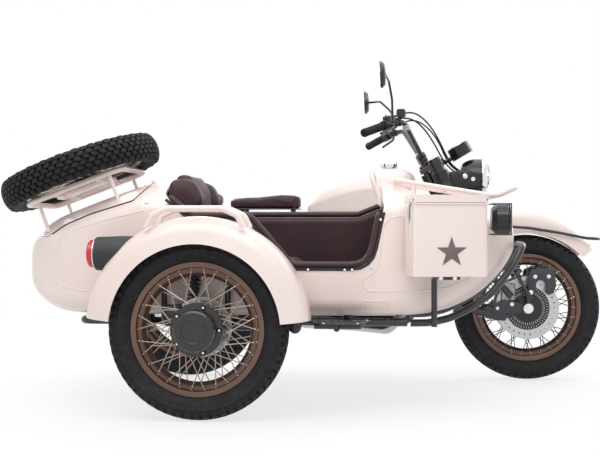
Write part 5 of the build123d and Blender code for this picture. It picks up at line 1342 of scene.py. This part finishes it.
def make_shock(name, low, high, body, spring_from=0.22, spring_to=0.9):
    """Damper with a wound spring; returns the piece that stands for it."""
    run = high - low
    along = run.normalized()
    shaft = Shape().rod(low, low + run * 0.55, 8)
    shaft.piece(name + "_shaft", "satin_grey", body)
    case = Shape().rod(low + run * 0.5, low + run * (spring_to + 0.03), 15.6, segments=28)
    for share in (spring_from, spring_to):
        case.lathe(SPRING_SEAT, low + run * share, along, 36)
    for eye in (low, high):
        case.lathe(SHOCK_EYE, eye, LEFT, 28)
    case.rod(low + along * 10 * MM, low + along * 34 * MM, 13, 10, 24)
    made = case.piece(name + "_case", "black_paint", body)
    coils = max(5, round(run.length * (spring_to - spring_from) / COIL_PITCH))
    side = along.cross(Vector(LEFT)).normalized()
    other = along.cross(side)
    points = []
    for index in range(coils * COIL_STEPS + 1):
        share = spring_from + (spring_to - spring_from) * index / (coils * COIL_STEPS)
        turn = math.tau * index / COIL_STEPS
        points.append(low + run * share + (side * math.cos(turn) + other * math.sin(turn)) * COIL_RADIUS * MM)
    spring = wire(name + "_spring", points, COIL_WIRE, "black_paint", body, kind="POLY")
    spring.data.bevel_resolution = 2
    return made


def make_shocks():
    for index, side in enumerate((1, -1)):
        rear = make_shock(f"rear_shock_{index}", at(-8, side * 136, 372), at(70, side * 146, 690), "chassis")
        front = make_shock(f"front_shock_{index}", steer_point(140, side * 151, -14),
                           steer_point(140, side * 151, 381), "steering", 0.3, 0.92)
        if side > 0:
            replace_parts(rear, "rear_shocks")
            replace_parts(front, "front_shocks")
    wheel = make_shock("sidecar_shock_made", at(210, -1042, 376), at(216, -1042, 630), "chassis", 0.2, 0.86)
    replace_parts(wheel, "sidecar_shock")


CHAIN_Y = 67.0
CHAIN_REAR, CHAIN_FRONT = Vector((0, 327.5)), Vector((560, 352))
REAR_PITCH_RADIUS, FRONT_PITCH_RADIUS = 98.5, 44.5
PITCH = 15.875
PLATE_THICKNESS, PLATE_TALL = 1.1, 3.4
PLATE_OVERHANG = 2.9    # of a link plate past its pins
OUTER_PLATES, INNER_PLATES = 3.6, 2.3    # distance from the chain's middle
ROLLER = [(0, -5), (3.2, -5), (3.2, 5), (0, 5)]
TOOTH_RADII = (38, 36.5, 32, 36.5)
FRONT_TEETH = 15
ARC_STEPS = 40


def chain_path():
    """Points of the closed run round both sprockets, one for each pin."""
    way = CHAIN_FRONT - CHAIN_REAR
    lean = math.atan2(way.y, way.x)
    spread = math.acos((REAR_PITCH_RADIUS - FRONT_PITCH_RADIUS) / way.length)
    upper, lower = lean + spread, lean - spread
    path = []
    for centre, radius, start, end in ((CHAIN_FRONT, FRONT_PITCH_RADIUS, upper, lower),
                                       (CHAIN_REAR, REAR_PITCH_RADIUS, lower, upper - math.tau)):
        for step in range(ARC_STEPS + 1):
            turn = start + (end - start) * step / ARC_STEPS
            path.append(centre + Vector((math.cos(turn), math.sin(turn))) * radius)
    path.append(path[0])
    lengths = [(b - a).length for a, b in zip(path, path[1:])]
    pitch = sum(lengths) / (2 * round(sum(lengths) / PITCH / 2))
    walked, due, pins = 0.0, 0.0, []
    for a, b, length in zip(path, path[1:], lengths):
        while length > 0 and due < walked + length - 1e-6:
            pins.append(a.lerp(b, (due - walked) / length))
            due += pitch
        walked += length
    return pins


def link_outline(half):
    """A link plate's outline, waisted between its two pins."""
    quarter = [(half, 0.5), (half - 2, 1), (2.5, 0.72)]
    upper = quarter + [(-x, y) for x, y in reversed(quarter)]
    lower = [(x, -y) for x, y in reversed(upper)]
    return [(x, y * PLATE_TALL) for x, y in lower[-1:] + upper + lower[:-1]]


def make_chain():
    chain, pins = Shape(), chain_path()
    for index, (a, b) in enumerate(zip(pins, pins[1:] + pins[:1])):
        chain.lathe(ROLLER, at(a.x, CHAIN_Y, a.y), LEFT, 8)
        middle, along = (a + b) / 2, (b - a).normalized()
        outline = link_outline((b - a).length / 2 + PLATE_OVERHANG)
        turn = Matrix(((along.x, -along.y, 0), (0, 0, 1), (along.y, along.x, 0))).to_4x4()
        outward = OUTER_PLATES if index % 2 else INNER_PLATES
        for y in (outward, -outward - PLATE_THICKNESS):
            place = Matrix.Translation(at(middle.x, CHAIN_Y + y, middle.y))
            chain.plate(outline, PLATE_THICKNESS, place @ turn, 0)
    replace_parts(chain.piece("drive_chain_links", "steel"), "drive_chain")
    x, z = CHAIN_FRONT
    teeth = [(TOOTH_RADII[i % 4] * math.cos(turn), TOOTH_RADII[i % 4] * math.sin(turn))
             for i, turn in enumerate(turns(4 * FRONT_TEETH))]
    facing_left = Matrix(((1, 0, 0, 0), (0, 0, 1, 0), (0, 1, 0, 0), (0, 0, 0, 1)))
    sprocket = Shape().plate(teeth, 7, Matrix.Translation(at(x, CHAIN_Y - 3.5, z)) @ facing_left, 0.5)
    sprocket.rod(at(x, 57.2, z), at(x, CHAIN_Y + 7, z), 14)
    sprocket.bolt(at(x, CHAIN_Y + 6, z), LEFT, 11, 8).piece("front_sprocket", "steel")


make_shocks()
make_chain()

# --- Engine and exhaust --------------------------------------------------------------------------------
CASE_HALF = 103.5
ROUND_COVERS = [(845, 385, 1.0, -1), (700, 380, 0.8, -1), (850, 385, 0.9, 1)]    # x, z, scale, side
COVER_BOLTS = 8
CASE_BOLTS = [(600, 318), (640, 460), (760, 466), (900, 462), (940, 330), (760, 306)]    # x, z
SIDE_BOLTS = [  # x, distance out, z, radius, height
    *((x, 98, 668, 4.5, 5) for x in (722, 800, 878)), *((x, 104, 628, 5.5, 6) for x in (722, 800, 878)),
    *((x, 104, z, 4.5, 5) for x, z in CASE_BOLTS)]
MUFFLER_FRONT, MUFFLER_RUN = (330, 196, 300), (-565, 0, 52)
BAND = [(43, -7), (45.4, -7), (45.4, 7), (43, 7), (43, -7)]
PIPE_CLAMP = [(19, 0), (22.5, 0), (24, 3), (24, 9), (22.5, 12), (19, 12), (19, 0)]
PORT_FLANGE = [(19.5, 0), (27, 0), (27, 6), (19.5, 6), (19.5, 0)]


def make_engine_details():
    bolts, rings, ribs = Shape(), Shape(), Shape()
    for x, z, scale, side in ROUND_COVERS:
        outward = (0, side, 0)
        for turn in turns(COVER_BOLTS, 0.5):
            spot = around(turn, 85 * scale, side * (CASE_HALF + 14 * scale - 1.5))
            bolts.bolt(at(x, 0, z) + spot, outward, 4.2, 6)
        for out, radius, thick in ((33, 38, 2.2), (32, 60, 1.6)):
            rings.ring(at(x, side * (CASE_HALF + out * scale), z), outward, radius * scale, thick, 56, 8)
    for side in SIDES:
        for x, out, z, radius, height in SIDE_BOLTS:
            bolts.bolt(at(x, side * out, z), (0, side, 0), radius, height)
        for level in range(6):
            start, end = (at(x, side * 98.3, 661 + 7.5 * level) for x in (722, 878 - level * 2))
            ribs.rod(start, end, 1.4, segments=8)
    for x in (740, 800, 860):
        ribs.rod(at(x, -80, 708.6), at(x, 80, 708.6), 3.2, segments=10)
    bolts.piece("engine_bolts", "steel")
    rings.piece("engine_cover_rings", "engine_black")
    ribs.piece("cam_cover_ribs", "engine_black")
    bands, flanges = Shape(), Shape()
    front, run = at(*MUFFLER_FRONT), Vector(MUFFLER_RUN).normalized()
    for distance in (95, 330, 500):
        bands.lathe(BAND, front + run * distance * MM, run)
    bands.lathe(PIPE_CLAMP, front - run * 14 * MM, run, 32).piece("exhaust_bands", "steel")
    for y in (52, -52):
        flanges.lathe(PORT_FLANGE, at(918, y, 625), FORWARD, 28)
        for shift in (24, -24):
            flanges.bolt(at(924, y + shift, 625), FORWARD, 4, 7)
    flanges.piece("exhaust_flanges", "steel")


make_engine_details()

# --- Handlebar and front suspension --------------------------------------------------------------------
MIRRORS = [("right", (900, -450, 1330)), ("left", (810, 450, 1312))]    # side, middle of the face
GRIP_START, GRIP_END = (825, 405, 1090), (935, 285, 1140)    # on the left; mirrored on the right
GRIP_RIB = [(16.6, -2), (17.9, -1.2), (17.9, 1.2), (16.6, 2)]
GRIP_END_CAP = [(0, -2.5), (12, -2.5), (18.4, 0), (19, 3), (17, 5), (0, 5)]
GRIP_COLLAR = [(17, -3), (21, -2), (21, 2), (17, 3), (17, -3)]
BAR_CLAMP = [(0, -62), (16.5, -62), (19, -58), (19, -24), (22, -20), (22, 14), (18, 19), (0, 19)]
STEER_UP = (-math.sin(RAKE), 0, math.cos(RAKE))


def make_handlebar_details():
    for side, place in MIRRORS:
        glass = Shape().lathe([(0, 8.1), (51, 8.1), (51, 8.9), (0, 8.9)], at(*place), (-1, 0, -0.05))
        glass.piece(f"mirror_glass_{side}", "chrome", "steering")
    ribs, clamps, bolts = Shape(), Shape(), Shape()
    for side in SIDES:
        start, end = (at(x, side * y, z) for x, y, z in (GRIP_START, GRIP_END))
        along = (end - start).normalized()
        for index in range(13):
            ribs.lathe(GRIP_RIB, start + along * (12 + 8 * index) * MM, along, 32)
        ribs.lathe(GRIP_END_CAP, start, along, 32)
        ribs.lathe(GRIP_COLLAR, start + along * 122 * MM, along, 32)
        seat, foot = at(1075, side * 48, 1008), steer_point(12, side * 48, 711)
        along = (seat - foot).normalized()
        across = along.cross(Vector(LEFT)).normalized()
        clamps.lathe(BAR_CLAMP, seat, along, 32)
        for shift in (-9.1, 9.1):
            bolts.bolt(seat + (along * 18 + across * shift) * MM, along, 4, 5)
        bolts.bolt(steer_point(50, side * 100, 724), STEER_UP, 11, 9)
        bolts.dome(steer_point(50, side * 100, 726), STEER_UP, 21, 4, 28)
    bolts.bolt(steer_point(0, 0, 722), STEER_UP, 14, 10)
    ribs.piece("grip_ribs", "rubber", "steering")
    clamps.piece("bar_clamps", "black_paint", "steering")
    bolts.piece("bar_clamp_bolts", "chrome", "steering")
    cap = Shape().lathe([(0, 0), (19, 0), (19, 5), (16, 8), (0, 8)], at(980, -243, 1198), UP, 36)
    cap.piece("reservoir_cap", "grained_black", "steering")
    case = Shape().box(at(922, -299, 1156), (30, 34, 26), turned_to((110, 120, 50), UP), 4)
    case.piece("stop_switch_case", "black_plastic", "steering")
    button = Shape().box(at(920, -301, 1170), (18, 12, 7), Matrix.Rotation(math.radians(24), 4, "Y"), 2)
    button.piece("stop_switch", "signal_red", "steering")
    pump = Shape().box(at(1004, -226, 1126), (24, 20, 34), turned_to((60, 55, 10), UP), 3)
    pump.bolt(at(1012, -240, 1128), RIGHT, 4, 4).piece("brake_pump", "alloy", "steering")


SHIELD = [(1546, 389), (1540, 440), (1552, 492), (1584, 508), (1636, 507), (1662, 486), (1667, 430),
          (1655, 397), (1632, 388), (1620, 402), (1628, 428), (1618, 452), (1594, 458), (1578, 440),
          (1580, 404), (1566, 388)]
LINK_GUARD = [(1385, 318), (1400, 300), (1500, 304), (1530, 330), (1512, 352), (1460, 366), (1404, 350)]
LINK_BOLTS = [  # x, distance out, z, radius, height
    (1634, 121, 471, 6, 6), (1575, 121, 470, 6, 6), (1556, 121, 400, 7, 6), (1474, 115, 346, 6, 6),
    (1410, 115, 328, 5, 6), (1546, 118, 327.5, 15, 12)]


def make_suspension_details():
    """Caliper shields, link guards and their bolts, on both sides of the front wheel."""
    shields, bolts, dampers = Shape(), Shape(), Shape()
    for side in SIDES:
        shields.plate(SHIELD, 9, standing(side * 117 + 4.5), 2)
        shields.rod(at(1556, side * 100, 400), at(1556, side * 121, 400), 14)
        shields.box(at(1600, side * 98, 478), (74, 34, 50), bevel=5)
        shields.plate(LINK_GUARD, 6, standing(side * 112 + 3), 2)
        for x, out, z, radius, height in LINK_BOLTS:
            bolts.bolt(at(x, side * out, z), (0, side, 0), radius, height)
        dampers.box(at(1614, side * 106, 516), (26, 18, 14), bevel=2)
        dampers.rod(at(1472, side * 112, 380), at(1415, side * 112, 445), 14, segments=28)
    shields.piece("front_caliper_shields", "satin_grey", "steering")
    bolts.piece("front_suspension_bolts", "chrome", "steering")
    dampers.piece("front_link_dampers", "black_paint", "steering")


make_handlebar_details()
make_suspension_details()

# --- Tank and step -------------------------------------------------------------------------------------
TANK_LINES = [[(819, 927), (807, 891), (786, 822), (762, 762)],
              [(827, 861), (813, 822), (795, 783), (779, 753)]]
STEP_MIDDLE_X, STEP_Z = 748, 350
STEP_BOLTS = [(640, -1012), (850, -1012), (700, -1152), (822, -1152)]


def make_tank_and_step_details():
    for side, name in zip(SIDES, ("right", "left")):
        for index, line in enumerate(TANK_LINES):
            found = [surface_under("fuel_tank", (x, side * 400, z), (0, -side, 0)) for x, z in line]
            points = [place - normal * 1.2 * MM for place, normal in filter(None, found)]
            if len(points) > 2:
                wire(f"tank_line_{index}_{name}", points, 2.4, "cream_paint")
    tread, bolts = Shape(), Shape()
    for row in range(6):
        for column in range(9 - row % 2):
            x, y = 652 + column * 24 + (row % 2) * 12, -1022 - row * 24
            if abs(x - STEP_MIDDLE_X) < 118 - max(0, -1030 - y) * 0.32:
                turn = Matrix.Rotation(math.radians(45 if (row + column) % 2 else -45), 4, "Z")
                tread.box(at(x, y, STEP_Z + 0.4), (13, 5, 1.8), turn, 0.4, 1)
    for x, y in STEP_BOLTS:
        bolts.dome(at(x, y, STEP_Z), UP, 6, 3)
    tread.piece("step_tread", "satin_grey")
    bolts.piece("step_bolts", "steel")


make_tank_and_step_details()
